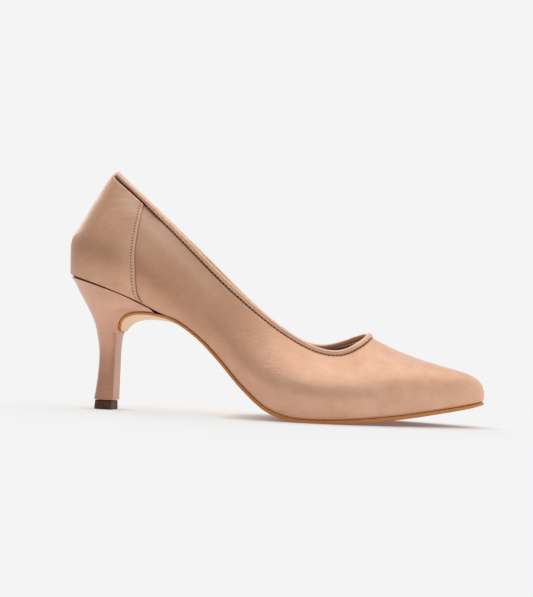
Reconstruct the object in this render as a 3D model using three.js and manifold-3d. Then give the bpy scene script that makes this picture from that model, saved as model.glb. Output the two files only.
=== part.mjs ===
// High heel pump, right shoe. Millimetres, +Z up, heel to toe along +X, lateral side towards -Y.
// Every leather layer is an offset of one last surface, spanned from the feather line to the topline.
import * as THREE from 'three';
import Module from 'manifold-3d';

const wasm = await Module();
wasm.setup();

// ---------- driving dimensions ----------

// Plan of the feather line, where upper and sole meet, heel to toe: x, lateral y, medial y.
const FEATHER = [
  [-117.1, 0, 0],
  [-109.8, -14.6, 14.6],
  [-94.0, -23.0, 23.0],
  [-73.0, -25.4, 24.6],
  [-50.0, -24.5, 18.6],
  [-27.0, -27.5, 17.8],
  [-4.0, -34.5, 24.5],
  [18.0, -39.0, 34.0],
  [42.0, -38.5, 38.0],
  [65.0, -32.5, 34.0],
  [86.0, -23.5, 26.0],
  [103.0, -14.0, 16.8],
  [114.5, -6.2, 8.4],
  [118.8, 1.0, 1.0],
];

// Topline of the lateral side, back of the heel to the throat: x, y, z.
const TOP_LATERAL = [
  [-95.3, 0, 135.2],
  [-91.6, -7.4, 132.2],
  [-83.0, -14.0, 125.6],
  [-65.0, -20.6, 110.8],
  [-44.0, -24.4, 92.2],
  [-23.0, -26.2, 73.0],
  [-3.0, -26.6, 56.6],
  [14.0, -25.7, 44.8],
  [30.0, -24.8, 37.3],
  [43.0, -22.3, 36.2],
  [51.0, -18.0, 39.6],
  [55.4, -12.3, 43.1],
  [57.1, -5.5, 45.7],
  [57.6, 2.0, 46.6],
];

// Topline of the medial side between the same two ends: x, y, z.
const TOP_MEDIAL = [
  [-91.6, 7.4, 131],
  [-83.0, 13.8, 123.2],
  [-65.0, 20.2, 106.9],
  [-44.0, 23.0, 88.0],
  [-23.0, 23.8, 68.6],
  [-4.0, 23.4, 52.9],
  [12.0, 22.5, 42.8],
  [26.0, 21.6, 39.3],
  [38.0, 19.7, 41.2],
  [46.5, 16.4, 44.0],
  [52.4, 11.8, 46.0],
  [56.3, 7.2, 46.6],
];

// Wall shape on each feather point: how far up the rib (0 to 1) and how far out the four poles stand.
const WALL = [
  [0.050, 0.313, 0.379, 0.700, 0.9, 9.3, 5.2, 3.8],
  [0.064, 0.289, 0.428, 0.752, 1.6, 8.0, 5.5, 3.1],
  [0.078, 0.272, 0.480, 0.802, 1.8, 6.3, 5.1, 2.2],
  [0.090, 0.270, 0.520, 0.820, 1.6, 4.4, 4.0, 1.5],
  [0.095, 0.280, 0.530, 0.820, 1.6, 3.6, 3.4, 1.2],
  [0.100, 0.280, 0.540, 0.820, 2.0, 4.2, 3.6, 1.3],
  [0.100, 0.280, 0.540, 0.820, 2.6, 6.0, 4.8, 1.5],
  [0.100, 0.290, 0.550, 0.820, 3.2, 8.2, 6.6, 2.1],
  [0.095, 0.300, 0.580, 0.830, 3.8, 9.4, 7.4, 2.6],
  [0.080, 0.320, 0.630, 0.850, 4.2, 10.6, 7.4, 2.8],
  [0.056, 0.310, 0.640, 0.860, 4.5, 11.6, 6.6, 2.4],
  [0.030, 0.210, 0.530, 0.820, 4.6, 12.3, 6.5, 1.6],
  [0.012, 0.125, 0.430, 0.780, 4.2, 12.5, 6.2, 0.6],
  [0.008, 0.093, 0.385, 0.765, 4.0, 12.1, 5.9, 0.1],
];

// Height of the feather line along the shoe: x, z.
const FEATHER_HEIGHT = [
  [-118.2, 76.9], [-94, 69.6], [-80, 65], [-66, 58.9], [-58, 55.3], [-46, 50.3], [-34, 42.1], [-22, 31.1],
  [-9.6, 18.6], [3.3, 8.2], [12.5, 4.0], [22, 2.0], [40, 2.0], [55.6, 3.2], [75.8, 5.7], [96.3, 9.3],
  [110, 11.9], [118.8, 14.1],
];

// Heel, from the lift upwards: back x and z, front corner x, z and y, widest half width, breast bulge.
const HEEL = [
  [-101.1, 5.5, -88.2, 5.5, 6.3, 7.0, 0.0],
  [-100.2, 12.0, -88.2, 12.0, 6.1, 6.8, 0.0],
  [-99.2, 24.0, -88.2, 24.0, 5.9, 6.6, 0.0],
  [-99.3, 34.0, -88.2, 34.5, 5.9, 7.3, 0.2],
  [-100.6, 42.5, -87.8, 42.2, 7.0, 9.7, 0.4],
  [-102.3, 49.5, -86.3, 48.2, 9.8, 13.2, 1.0],
  [-105.3, 56.0, -83.0, 52.6, 13.4, 17.2, 1.7],
  [-109.2, 62.5, -77.6, 55.2, 17.0, 20.8, 2.1],
  [-113.1, 68.4, -70.8, 56.1, 20.4, 23.4, 2.2],
  [-117.0, 73.2, -64.6, 56.0, 22.8, 25.2, 2.0],
  [-118.5, 76.1, -60.2, 55.5, 24.3, 26.2, 1.8],
];

const LEATHER = 1.1; // thickness of the outer upper
const GAP = 0.3; // clearance between neighbouring pieces
const STIFFENER = [1.4, 2.1]; // depths of counter stiffener and toe puff below the outer surface
const LINING = [2.4, 3.2]; // depths of the lining
const GRIP = [3.5, 4.3]; // depths of the heel grip
const PIPING_INSET = 1.5; // centre of the bead inside the outer edge
const PIPING_HALF_THICK = 1.3;
// Half height of the bead, taller from the waist to the throat: station from the heel, height.
const PIPING_HALF_HEIGHT = [[0, 1.2], [2.5, 1.3], [5, 1.42], [8, 1.4], [10.5, 1.5], [13, 1.2]];
const PIPING_LIFT = 0.2; // lowest point of the bead above the cut edge
const MARGIN = 11; // lasting margin folded under the insole
const HEEL_MARGIN = 8; // lasting margin round the back of the heel
const TOE_MARGIN = 5; // lasting margin at the point of the toe
const BOARD_INSET = 3.6; // insole board edge inside the feather line
const SHANK_LEVELS = [0.1, 1.1]; // heights above the feather plane
const SHANK_BOARD_LEVELS = [1.4, 2.6];
const BOARD_LEVELS = [2.9, 4.4];
const CUSHION_LEVELS = [4.7, 6.0];
const INSOCK_LEVELS = [6.3, 7.1];
const SOLE_THICK = 1.8; // outsole under the ball
const WAIST_THICK = 1.3; // outsole at the toe, in the waist and on the flap
const WAIST_BULGE = 2.1; // how far the flap bulges in the middle
const COVER_THICK = 0.7; // leather round the heel
const LIFT_TOP = 5.1;
const LIFT_BACK = -100.4;
const LIFT_FRONT = -89.1;
const LIFT_HALF_WIDTH = 6.6;
const LIFT_ARC = 116; // half arc of the lift's round back, in degrees
// Outline of the lift upwards: height, growth beyond its top edge.
const LIFT_STEPS = [[0, 0.1], [0.5, 0.35], [2.5, 0.2], [LIFT_TOP, 0]];
const DOWEL_RADIUS = 2.3;
const DOWEL_BORE = 1.5;
const DOWEL_ENDS = [[-94.2, 6.0], [-95.4, 47.0]]; // x and z of its lower and upper end
const PIN_RADIUS = 1.2;
const PIN_HEAD = 2.2;
const PIN_FOOT = 2.5; // height of the pin's head inside the lift
const PIN_LENGTH = 13;
const NAIL_RADIUS = 0.9;
const NAIL_PLACES = [[-101, -6.5], [-101, 6.5], [-88, -8.5], [-88, 8.5]];
const NAIL_LENGTH = 15;
const SCREW_RADIUS = 2.0;
const SCREW_X = -94.5;
const SCREW_LENGTH = 22;
const RIVET_RADIUS = 1.4;
const RIVET_PLACES = [-76, -12];
const ROUND_SIDES = 12;

// ---------- curves ----------

const LAST_KEY = FEATHER.length - 1;
const KEYS = 2 * LAST_KEY;

// Smooth curve through [x, y] points, used for heights and for tapering values.
function profile(points) {
  const slope = points.map((point, i) => {
    const before = points[Math.max(i - 1, 0)];
    const after = points[Math.min(i + 1, points.length - 1)];
    return (after[1] - before[1]) / (after[0] - before[0]);
  });
  return (x) => {
    let i = 0;
    while (i < points.length - 2 && x > points[i + 1][0]) i += 1;
    const span = points[i + 1][0] - points[i][0];
    const t = Math.min(Math.max((x - points[i][0]) / span, 0), 1);
    const rise = points[i + 1][1] - points[i][1];
    const a = slope[i] * span - rise;
    const b = rise - slope[i + 1] * span;
    return points[i][1] + t * rise + t * (1 - t) * (a * (1 - t) + b * t);
  };
}

// Closed curve with even curvature through a ring of points, one point at each whole number u.
function ringCurve(points) {
  const n = points.length;
  const slopes = points.map(() => [0, 0, 0]);
  for (let pass = 0; pass < 30; pass += 1) {
    for (let i = 0; i < n; i += 1) {
      for (let k = 0; k < 3; k += 1) {
        const chord = 3 * (points[(i + 1) % n][k] - points[(i + n - 1) % n][k]);
        slopes[i][k] = (chord - slopes[(i + 1) % n][k] - slopes[(i + n - 1) % n][k]) / 4;
      }
    }
  }
  return (u) => {
    const whole = Math.floor(u);
    const t = u - whole;
    const i = ((whole % n) + n) % n;
    const j = (i + 1) % n;
    return new THREE.Vector3(...[0, 1, 2].map((k) => {
      const rise = points[j][k] - points[i][k];
      const a = slopes[i][k] - rise;
      const b = rise - slopes[j][k];
      return points[i][k] + t * rise + t * (1 - t) * (a * (1 - t) + b * t);
    }));
  };
}

// Weights of the six poles of a clamped cubic B-spline.
function poleWeights(v) {
  const knots = [0, 0, 0, 0, 1 / 3, 2 / 3, 1, 1, 1, 1];
  const t = Math.min(Math.max(v, 0), 0.999999);
  let weights = knots.slice(1).map((knot, i) => (t >= knots[i] && t < knot ? 1 : 0));
  for (let degree = 1; degree <= 3; degree += 1) {
    weights = weights.slice(1).map((next, i) => {
      const left = knots[i + degree] - knots[i];
      const right = knots[i + degree + 1] - knots[i + 1];
      const a = left > 0 ? ((t - knots[i]) / left) * weights[i] : 0;
      const b = right > 0 ? ((knots[i + degree + 1] - t) / right) * next : 0;
      return a + b;
    });
  }
  return weights;
}

// Stations round the last, closer together at the back of the heel and at the point of the toe.
const STATIONS = [];
for (let u = 0; u < KEYS; u += 0.25) {
  const tight = u < 1 || u > KEYS - 1 || Math.abs(u - LAST_KEY) < 1.5;
  if (tight || u % 0.5 === 0) STATIONS.push(u);
}
const stationsBetween = (from, to) => STATIONS.filter((u) => u >= from && u <= to);
const stationsRoundHeel = (reach) => [
  ...stationsBetween(KEYS - reach, KEYS).map((u) => u - KEYS),
  ...stationsBetween(0, reach),
];

// Rows up the wall of the last.
const ROWS = [0.05, 0.13, 0.25, 0.4, 0.55, 0.7, 0.85, 1];

// ---------- the last surface ----------

const featherHeight = profile(FEATHER_HEIGHT);

function lastRings() {
  const foot = [];
  const top = [];
  const wall = [];
  for (let key = 0; key < KEYS; key += 1) {
    const medial = key > LAST_KEY;
    const row = medial ? KEYS - key : key;
    foot.push([FEATHER[row][0], FEATHER[row][medial ? 2 : 1], featherHeight(FEATHER[row][0])]);
    top.push(medial ? TOP_MEDIAL[row - 1] : TOP_LATERAL[row]);
    wall.push(WALL[row]);
  }
  const footCurve = ringCurve(foot);
  const poles = foot.map((_, key) => {
    const start = new THREE.Vector3(...foot[key]);
    const rib = new THREE.Vector3(...top[key]).sub(start);
    const along = rib.clone().normalize();
    const turn = footCurve(key + 0.01).sub(footCurve(key - 0.01)).setZ(0).normalize();
    const out = new THREE.Vector3(turn.y, -turn.x, 0).multiplyScalar(15);
    out.sub(rib.clone().setZ(0)).normalize();
    out.addScaledVector(along, -out.dot(along)).normalize();
    const inner = [0, 1, 2, 3].map((k) => start.clone()
      .addScaledVector(rib, wall[key][k]).addScaledVector(out, wall[key][k + 4]).toArray());
    return [foot[key], ...inner, top[key]];
  });
  return [0, 1, 2, 3, 4, 5].map((level) => ringCurve(poles.map((pole) => pole[level])));
}

const RINGS = lastRings();

function surface(u, v) {
  const point = new THREE.Vector3();
  poleWeights(v).forEach((weight, level) => {
    point.addScaledVector(RINGS[level](u), weight);
  });
  return point;
}

function surfaceNormal(u, v) {
  const step = 0.02;
  const round = surface(u + step, v).sub(surface(u - step, v));
  const up = surface(u, Math.min(v + step, 1)).sub(surface(u, Math.max(v - step, 0)));
  return round.cross(up).normalize();
}

function layer(u, v, depth) {
  return surface(u, v).addScaledVector(surfaceNormal(u, v), -depth);
}

// A point of the feather line moved inwards in plan, on the feather plane raised by a height.
function insetFeather(u, inset, height) {
  const turn = RINGS[0](u + 0.01).sub(RINGS[0](u - 0.01)).setZ(0).normalize();
  const point = RINGS[0](u);
  point.x -= turn.y * inset;
  point.y += turn.x * inset;
  point.z = featherHeight(point.x) + height;
  return point;
}

// ---------- solids from loops ----------

// Closed solid through a row of loops, whose ends are joined or capped across.
function loft(loops, closed) {
  const positions = [];
  const known = new Map();
  const place = (p) => {
    const key = [p.x, p.y, p.z].map((value) => Math.round(value * 2000)).join(',');
    if (!known.has(key)) {
      known.set(key, positions.length / 3);
      positions.push(p.x, p.y, p.z);
    }
    return known.get(key);
  };
  const rows = loops.map((loop) => loop.map(place));
  const size = rows[0].length;
  const triangles = [];
  const add = (a, b, c) => {
    if (a !== b && b !== c && a !== c) triangles.push(a, b, c);
  };
  const strips = closed ? rows.length : rows.length - 1;
  for (let i = 0; i < strips; i += 1) {
    const here = rows[i];
    const next = rows[(i + 1) % rows.length];
    for (let j = 0; j < size; j += 1) {
      const k = (j + 1) % size;
      add(here[j], here[k], next[k]);
      add(here[j], next[k], next[j]);
    }
  }
  const cap = (row, flip) => {
    for (let j = 0; j < size / 2 - 1; j += 1) {
      const corners = [row[j], row[j + 1], row[size - 2 - j], row[size - 1 - j]];
      if (flip) corners.reverse();
      add(corners[0], corners[2], corners[1]);
      add(corners[0], corners[3], corners[2]);
    }
  };
  if (!closed) {
    cap(rows[0], false);
    cap(rows[rows.length - 1], true);
  }
  return outward(positions, triangles);
}

// Geometry whose faces point out: the winding turns over where the enclosed volume is negative.
function outward(positions, triangles) {
  let volume = 0;
  for (let i = 0; i < triangles.length; i += 3) {
    const [a, b, c] = [0, 1, 2].map((k) => new THREE.Vector3().fromArray(positions, triangles[i + k] * 3));
    volume += a.dot(b.cross(c));
  }
  if (volume < 0) triangles.reverse();
  const geometry = new THREE.BufferGeometry();
  geometry.setAttribute('position', new THREE.Float32BufferAttribute(positions, 3));
  geometry.setIndex(triangles);
  geometry.computeVertexNormals();
  return geometry;
}

function range(from, to, steps) {
  return Array.from({ length: steps + 1 }, (_, i) => from + ((to - from) * i) / steps);
}

// Sheet of leather or lining between two depths, over ranges of u and v.
function shell(us, vs, depths, closed = false) {
  return loft(us.map((u) => [
    ...vs.map((v) => layer(u, v, depths[0])),
    ...vs.slice().reverse().map((v) => layer(u, v, depths[1])),
  ]), closed);
}

// Flat layer on the feather plane between lateral and medial edges, over a range of stations.
function slab(stations, inset, levels, widths = () => 1, columns = 4) {
  const row = (station, height) => range(0, 1, columns).map((c) => {
    const lateral = insetFeather(station, inset, height);
    const medial = insetFeather(KEYS - station, inset, height);
    const across = 0.5 + (c - 0.5) * widths(station);
    const point = lateral.lerp(medial, across);
    point.z = featherHeight(point.x) + height;
    return point;
  });
  return loft(stations.map((station) => [
    ...row(station, levels[0]),
    ...row(station, levels[1]).reverse(),
  ]), false);
}

// ---------- booleans ----------

function toSolid(geometry) {
  return new wasm.Manifold(new wasm.Mesh({
    numProp: 3,
    vertProperties: geometry.attributes.position.array,
    triVerts: new Uint32Array(geometry.index.array),
  }));
}

function cut(geometry, tools) {
  let solid = toSolid(geometry);
  tools.forEach((tool) => {
    solid = solid.subtract(toSolid(tool));
  });
  const mesh = solid.getMesh();
  return outward(Array.from(mesh.vertProperties), Array.from(mesh.triVerts));
}

// Solid of revolution of a [radius, length] outline along the line between two points.
function turned(outline, from, to) {
  const axis = to.clone().sub(from).normalize();
  const side = new THREE.Vector3(0, 1, 0).cross(axis).normalize();
  const other = axis.clone().cross(side);
  return loft(outline.map(([radius, length]) => Array.from({ length: ROUND_SIDES }, (_, i) => {
    const angle = (2 * Math.PI * i) / ROUND_SIDES;
    return from.clone().addScaledVector(axis, length)
      .addScaledVector(side, radius * Math.cos(angle)).addScaledVector(other, radius * Math.sin(angle));
  })), false);
}

// ---------- upper ----------

function marginWidth(u) {
  const fromTip = Math.abs(u - LAST_KEY);
  const toe = TOE_MARGIN + (MARGIN - TOE_MARGIN) * THREE.MathUtils.smoothstep(fromTip, 0.8, 3.2);
  return toe - (MARGIN - HEEL_MARGIN) * THREE.MathUtils.smoothstep(fromTip, 9, 11.5);
}

function vampAndQuarters() {
  return loft(STATIONS.map((u) => {
    const margin = marginWidth(u);
    return [
      insetFeather(u, margin, 0),
      insetFeather(u, margin / 2, 0),
      insetFeather(u, 0, 0),
      ...ROWS.map((v) => layer(u, v, 0)),
      ...ROWS.slice().reverse().map((v) => layer(u, v, LEATHER)),
      insetFeather(u, LEATHER, LEATHER),
      insetFeather(u, margin / 2, LEATHER),
      insetFeather(u, margin, LEATHER),
    ];
  }), true);
}

// Station of the seam between counter panel and quarter, from the sole to the topline.
const seamStation = profile([[0, 3.29], [0.04, 3.17], [0.1, 3.1], [0.24, 3.04],
  [0.41, 2.98], [0.585, 2.885], [1, 2.68]]);

function counterPanel() {
  const half = stationsBetween(0, 2.5).map((u) => () => u);
  const columns = [...half, (v) => (2.5 + seamStation(v)) / 2, seamStation];
  const loops = columns.map((station) => (side) => [
    ...ROWS.map((v) => layer(side * station(v), v, -LEATHER - GAP)),
    ...ROWS.slice().reverse().map((v) => layer(side * station(v), v, -GAP)),
  ]);
  return loft([
    ...loops.slice(1).reverse().map((loop) => loop(-1)),
    ...loops.map((loop) => loop(1)),
  ], false);
}

// Bead along the topline, standing on the cut edge and square to the line.
function toplinePiping() {
  const sides = 6;
  const halfHeight = profile(PIPING_HALF_HEIGHT);
  return loft(STATIONS.map((u) => {
    const along = surface(u + 0.05, 1).sub(surface(u - 0.05, 1)).normalize();
    const out = new THREE.Vector3(along.y, -along.x, 0).normalize();
    const rise = along.clone().cross(out);
    rise.multiplyScalar(Math.sign(rise.z));
    const tall = halfHeight(Math.min(u, KEYS - u));
    const centre = surface(u, 1).addScaledVector(out, -PIPING_INSET)
      .addScaledVector(rise, tall + PIPING_LIFT);
    return range(0, sides - 1, sides - 1).map((i) => {
      const angle = (2 * Math.PI * (i + 0.5)) / sides;
      return centre.clone().addScaledVector(out, PIPING_HALF_THICK * Math.cos(angle))
        .addScaledVector(rise, tall * Math.sin(angle));
    });
  }), true);
}

const VAMP_SEAM = 7.5; // station where vamp and quarter linings meet

function linings() {
  const seam = 0.02;
  const between = (from, to) => [from + seam, ...stationsBetween(from + 0.2, to - 0.2), to - seam];
  return {
    vamp_lining: shell(between(VAMP_SEAM, KEYS - VAMP_SEAM), ROWS, LINING),
    quarter_lining_lateral: shell(between(0, VAMP_SEAM), ROWS, LINING),
    quarter_lining_medial: shell(between(KEYS - VAMP_SEAM, KEYS), ROWS, LINING),
  };
}

// ---------- insole parts ----------

// Line square to the feather plane through a point of the middle line, between two heights.
function squareLine(x, bottom, top) {
  const foot = new THREE.Vector3(x, 0, featherHeight(x));
  const slope = featherHeight(x + 1) - featherHeight(x - 1);
  const normal = new THREE.Vector3(-slope, 0, 2).normalize();
  return [foot.clone().addScaledVector(normal, bottom), foot.clone().addScaledVector(normal, top)];
}

// Plumb line down from the top of the insole board, for what fastens the heel.
function plumbLine(x, y, length, sink) {
  const head = new THREE.Vector3(x, y, featherHeight(x) + BOARD_LEVELS[1] - sink);
  return [head, head.clone().setZ(head.z - length)];
}

const rod = (line, radius) => turned([[radius, 0], [radius, line[0].distanceTo(line[1])]], line[0], line[1]);

const nailLine = ([x, y]) => plumbLine(x, y, NAIL_LENGTH, 0.7);
const screwLine = plumbLine(SCREW_X, 0, SCREW_LENGTH, 1.5);
const rivetLine = (x) => squareLine(x, SHANK_LEVELS[0], SHANK_BOARD_LEVELS[1] - 0.5);

function pointed(line, radius, headRadius, headThick) {
  const length = line[0].distanceTo(line[1]);
  return turned([
    [headRadius, 0], [headRadius, headThick * 0.6], [radius, headThick],
    [radius, length - 3 * radius], [radius * 0.3, length],
  ], line[0], line[1]);
}

function clearance(line, radius, extra = 12) {
  const axis = line[1].clone().sub(line[0]).normalize();
  const start = line[0].clone().addScaledVector(axis, -extra);
  return rod([start, line[1].clone().addScaledVector(axis, GAP)], radius + GAP);
}

function boardHoles() {
  return [
    ...NAIL_PLACES.map((place) => clearance(nailLine(place), NAIL_RADIUS * 2)),
    clearance(screwLine, SCREW_RADIUS * 1.7),
  ];
}

function insoleParts() {
  const stations = stationsBetween(0, LAST_KEY);
  const narrow = profile([[0.5, 0.42], [2, 0.5], [5, 0.52], [6, 0.34]]);
  const heelPad = profile([[0.5, 0.5], [1.2, 0.8], [2.6, 0.8], [3.5, 0.4]]);
  const ballPad = profile([[6.5, 0.3], [7.2, 0.66], [8.6, 0.76], [9.5, 0.42]]);
  const rivetHoles = RIVET_PLACES.map((x) => clearance(rivetLine(x), RIVET_RADIUS, 3));
  const shankWidth = (station) => 10 / (insetFeather(station, 13, 0).distanceTo(
    insetFeather(KEYS - station, 13, 0)));
  return {
    insole_board: cut(slab(stations, BOARD_INSET, BOARD_LEVELS), boardHoles()),
    shank_board: cut(slab(stationsBetween(0.5, 6), BOARD_INSET, SHANK_BOARD_LEVELS, narrow),
      [...boardHoles(), ...rivetHoles]),
    steel_shank: cut(slab(stationsBetween(2.5, 5.5), 13, SHANK_LEVELS, shankWidth, 2), rivetHoles),
    heel_cushion: slab(stationsBetween(0.5, 3.5), BOARD_INSET + 1, CUSHION_LEVELS, heelPad),
    ball_cushion: slab(stationsBetween(6.5, 9.5), BOARD_INSET + 1, CUSHION_LEVELS, ballPad),
    insock: slab(stations, BOARD_INSET + 1.3, INSOCK_LEVELS),
  };
}

// ---------- outsole ----------

// Edge of the outsole from the toe to the tip of the breast flap: x, z, lateral y, medial y.
const FLAP = [
  [-60.5, 55.1, -24.0, 21.5],
  [-70.8, 55.8, -20.2, 19.8],
  [-77.6, 54.9, -16.8, 16.8],
  [-83.0, 52.3, -13.2, 13.2],
  [-85.8, 48.4, -9.0, 9.0],
  [-86.6, 45.2, -4.8, 4.8],
  [-86.1, 43.8, 0, 0],
];
const SOLE_STATIONS = 9; // feather stations under the outsole, from the toe to x = -50

function soleEdge(s, side) {
  const fromToe = (i) => {
    const key = LAST_KEY - i;
    return insetFeather(side < 0 ? key : KEYS - key, -0.5, 0);
  };
  const flapPoint = ([x, z, lateral, medial]) => new THREE.Vector3(x, side < 0 ? lateral : medial, z);
  if (s <= SOLE_STATIONS) return fromToe(s);
  const chain = [fromToe(SOLE_STATIONS - 1), fromToe(SOLE_STATIONS), ...FLAP.map(flapPoint)];
  return new THREE.CatmullRomCurve3(chain, false, 'centripetal').getPoint(
    (s - SOLE_STATIONS + 1) / (chain.length - 1));
}

const SOLE_END = SOLE_STATIONS + FLAP.length;
const soleBulge = profile([[0, 0], [2, 0.2], [7, 0.2], [8, 0.5], [9, 1.2], [10, 1.9],
  [11, WAIST_BULGE], [12, WAIST_BULGE], [13, 1.9], [14, 1.2], [15, 0.4], [SOLE_END, 0]]);
const soleThickness = profile([[0, WAIST_THICK], [3, SOLE_THICK], [6, SOLE_THICK], [7.5, WAIST_THICK],
  [SOLE_END, WAIST_THICK]]);

function outsole() {
  const columns = 6;
  const stations = [
    ...stationsBetween(LAST_KEY - SOLE_STATIONS, LAST_KEY).reverse().map((u) => LAST_KEY - u),
    ...range(SOLE_STATIONS + 0.5, SOLE_END, 13),
  ];
  return loft(stations.map((s) => {
    const lateral = soleEdge(s, -1);
    const medial = soleEdge(s, 1);
    const middle = (t) => soleEdge(t, -1).add(soleEdge(t, 1));
    const run = middle(Math.min(s + 0.05, SOLE_END)).sub(middle(Math.max(s - 0.05, 0))).setY(0).normalize();
    const down = new THREE.Vector3(run.z, 0, -run.x).multiplyScalar(-1);
    const row = (depth) => range(0, 1, columns).map((c) => {
      const bulge = soleBulge(s) * (1 - (2 * c - 1) ** 2);
      const point = lateral.clone().lerp(medial, c).addScaledVector(down, depth + bulge);
      point.z = Math.max(point.z, 0);
      return point;
    });
    return [...row(GAP), ...row(GAP + soleThickness(s)).reverse()];
  }), false);
}

function bottomFiller() {
  const stations = stationsBetween(6.5, 11.5);
  const row = (station, height) => range(0, 1, 4).map((c) => {
    const inset = marginWidth(station) + GAP + 0.2;
    const point = insetFeather(station, inset, height).lerp(insetFeather(KEYS - station, inset, height), c);
    point.z = featherHeight(point.x) + height;
    return point;
  });
  return loft(stations.map((station) => [
    ...row(station, 0),
    ...row(station, BOARD_LEVELS[0] - GAP).reverse(),
  ]), false);
}

// ---------- heel ----------

const heelCurves = [0, 1, 2, 3, 4, 5, 6].map((k) => profile(HEEL.map((row, i) => [i, row[k]])));
const HEEL_TOP = HEEL.length - 1;

// Loop round the heel at a level: from the middle of the back round the lateral side and the breast.
function heelLoop(level, inset) {
  const [backX, backZ, frontX, frontZ, cornerY, halfWidth, bulge] = heelCurves.map((curve) => curve(level));
  const end = Math.PI - Math.asin(cornerY / halfWidth);
  const reach = (frontX - backX) / (1 - Math.cos(end));
  const height = (x) => {
    const straight = backZ + ((frontZ - backZ) * (x - backX)) / (frontX - backX);
    const seat = featherHeight(x) - 0.4;
    return straight + (seat - straight) * THREE.MathUtils.smoothstep(level, HEEL_TOP - 2.5, HEEL_TOP);
  };
  const half = [];
  range(0, end, 9).forEach((angle) => {
    const x = backX + inset + (reach - inset) * (1 - Math.cos(angle)) * (1 - inset / (2 * reach));
    half.push(new THREE.Vector3(x, -(halfWidth - inset) * Math.sin(angle), height(x)));
  });
  const corner = half[half.length - 1];
  const lean = THREE.MathUtils.smoothstep(level, 3, 7);
  [0.25, 0.5, 0.75, 1].forEach((c) => {
    const push = (bulge * (1 - (1 - c) ** 2));
    half.push(new THREE.Vector3(corner.x + push * (1 - lean), corner.y * (1 - c), corner.z - push * lean));
  });
  const waisted = (x) => 1 - 0.1 * THREE.MathUtils.smoothstep(x, -85, -58);
  const mirrored = half.slice(1, -1).reverse().map((p) => new THREE.Vector3(p.x, -p.y * waisted(p.x), p.z));
  return [...half, ...mirrored];
}

const HEEL_LEVELS = range(0, HEEL_TOP, 18);

function heelCover() {
  const outer = HEEL_LEVELS.map((level) => heelLoop(level, 0));
  const inner = HEEL_LEVELS.map((level) => heelLoop(level, COVER_THICK));
  const size = outer[0].length;
  return loft(Array.from({ length: size }, (_, j) => [
    ...outer.map((loop) => loop[j]),
    ...inner.map((loop) => loop[j]).reverse(),
  ]), true);
}

const upDowel = new THREE.Vector3(DOWEL_ENDS[1][0], 0, DOWEL_ENDS[1][1]);
const downDowel = new THREE.Vector3(DOWEL_ENDS[0][0], 0, DOWEL_ENDS[0][1]);

function heelBlock() {
  const block = loft(HEEL_LEVELS.map((level) => {
    const loop = heelLoop(level, COVER_THICK + 1.5 * GAP);
    return [...loop.slice(1), loop[0]];
  }), false);
  return cut(block, [
    ...boardHoles(),
    clearance([downDowel, upDowel], DOWEL_RADIUS),
  ]);
}

function dowel() {
  const length = upDowel.distanceTo(downDowel);
  const bore = length - 4;
  return turned([
    [0, bore], [DOWEL_BORE, bore], [DOWEL_BORE, 0], [DOWEL_RADIUS, 0], [DOWEL_RADIUS, length], [0, length],
  ], downDowel, upDowel);
}

// Outline of the lift at a height, a D with its flat towards the toe, growing downwards.
function liftLoop(z, grow) {
  const halfWidth = LIFT_HALF_WIDTH + grow;
  const back = LIFT_BACK - grow;
  const front = LIFT_FRONT + grow * 0.4;
  const end = THREE.MathUtils.degToRad(LIFT_ARC);
  const reach = (front - back) / (1 - Math.cos(end));
  const half = range(0, end, 8).map((angle) => new THREE.Vector3(
    back + reach * (1 - Math.cos(angle)), -halfWidth * Math.sin(angle), z));
  return [...half, ...half.slice(1).reverse().map((p) => new THREE.Vector3(p.x, -p.y, z))];
}

function heelLift() {
  const floor = new THREE.Vector3(DOWEL_ENDS[0][0], 0, PIN_FOOT - GAP);
  const pinHole = rod([floor, floor.clone().setZ(2 * LIFT_TOP)], PIN_HEAD + GAP);
  const body = loft(LIFT_STEPS.map(([z, grow]) => liftLoop(z, grow)), false);
  return cut(body, [pinHole]);
}

function liftPin() {
  const foot = new THREE.Vector3(DOWEL_ENDS[0][0], 0, PIN_FOOT);
  const tip = foot.clone().addScaledVector(upDowel.clone().sub(downDowel).normalize(), PIN_LENGTH);
  return turned([
    [PIN_HEAD, 0], [PIN_HEAD, 1.2], [PIN_RADIUS, 1.2], [PIN_RADIUS, PIN_LENGTH - 1],
    [PIN_RADIUS * 0.6, PIN_LENGTH],
  ], foot, tip);
}

// ---------- assembly ----------

const finishes = {
  upper: { color: 0xc9a083, roughness: 0.5, metalness: 0 },
  lining: { color: 0xb98f74, roughness: 0.8, metalness: 0 },
  board: { color: 0xb9a184, roughness: 0.9, metalness: 0 },
  sole: { color: 0xe9cfae, roughness: 0.6, metalness: 0 },
  core: { color: 0xd8d4cc, roughness: 0.5, metalness: 0 },
  steel: { color: 0x9a9c9f, roughness: 0.35, metalness: 1 },
  rubber: { color: 0x6b4632, roughness: 0.6, metalness: 0 },
  foam: { color: 0xe8e0d2, roughness: 0.9, metalness: 0 },
};

const shoe = new THREE.Group();

function addPiece(name, geometry, finish) {
  const mesh = new THREE.Mesh(geometry, new THREE.MeshStandardMaterial(finishes[finish]));
  mesh.name = name;
  shoe.add(mesh);
}

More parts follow.
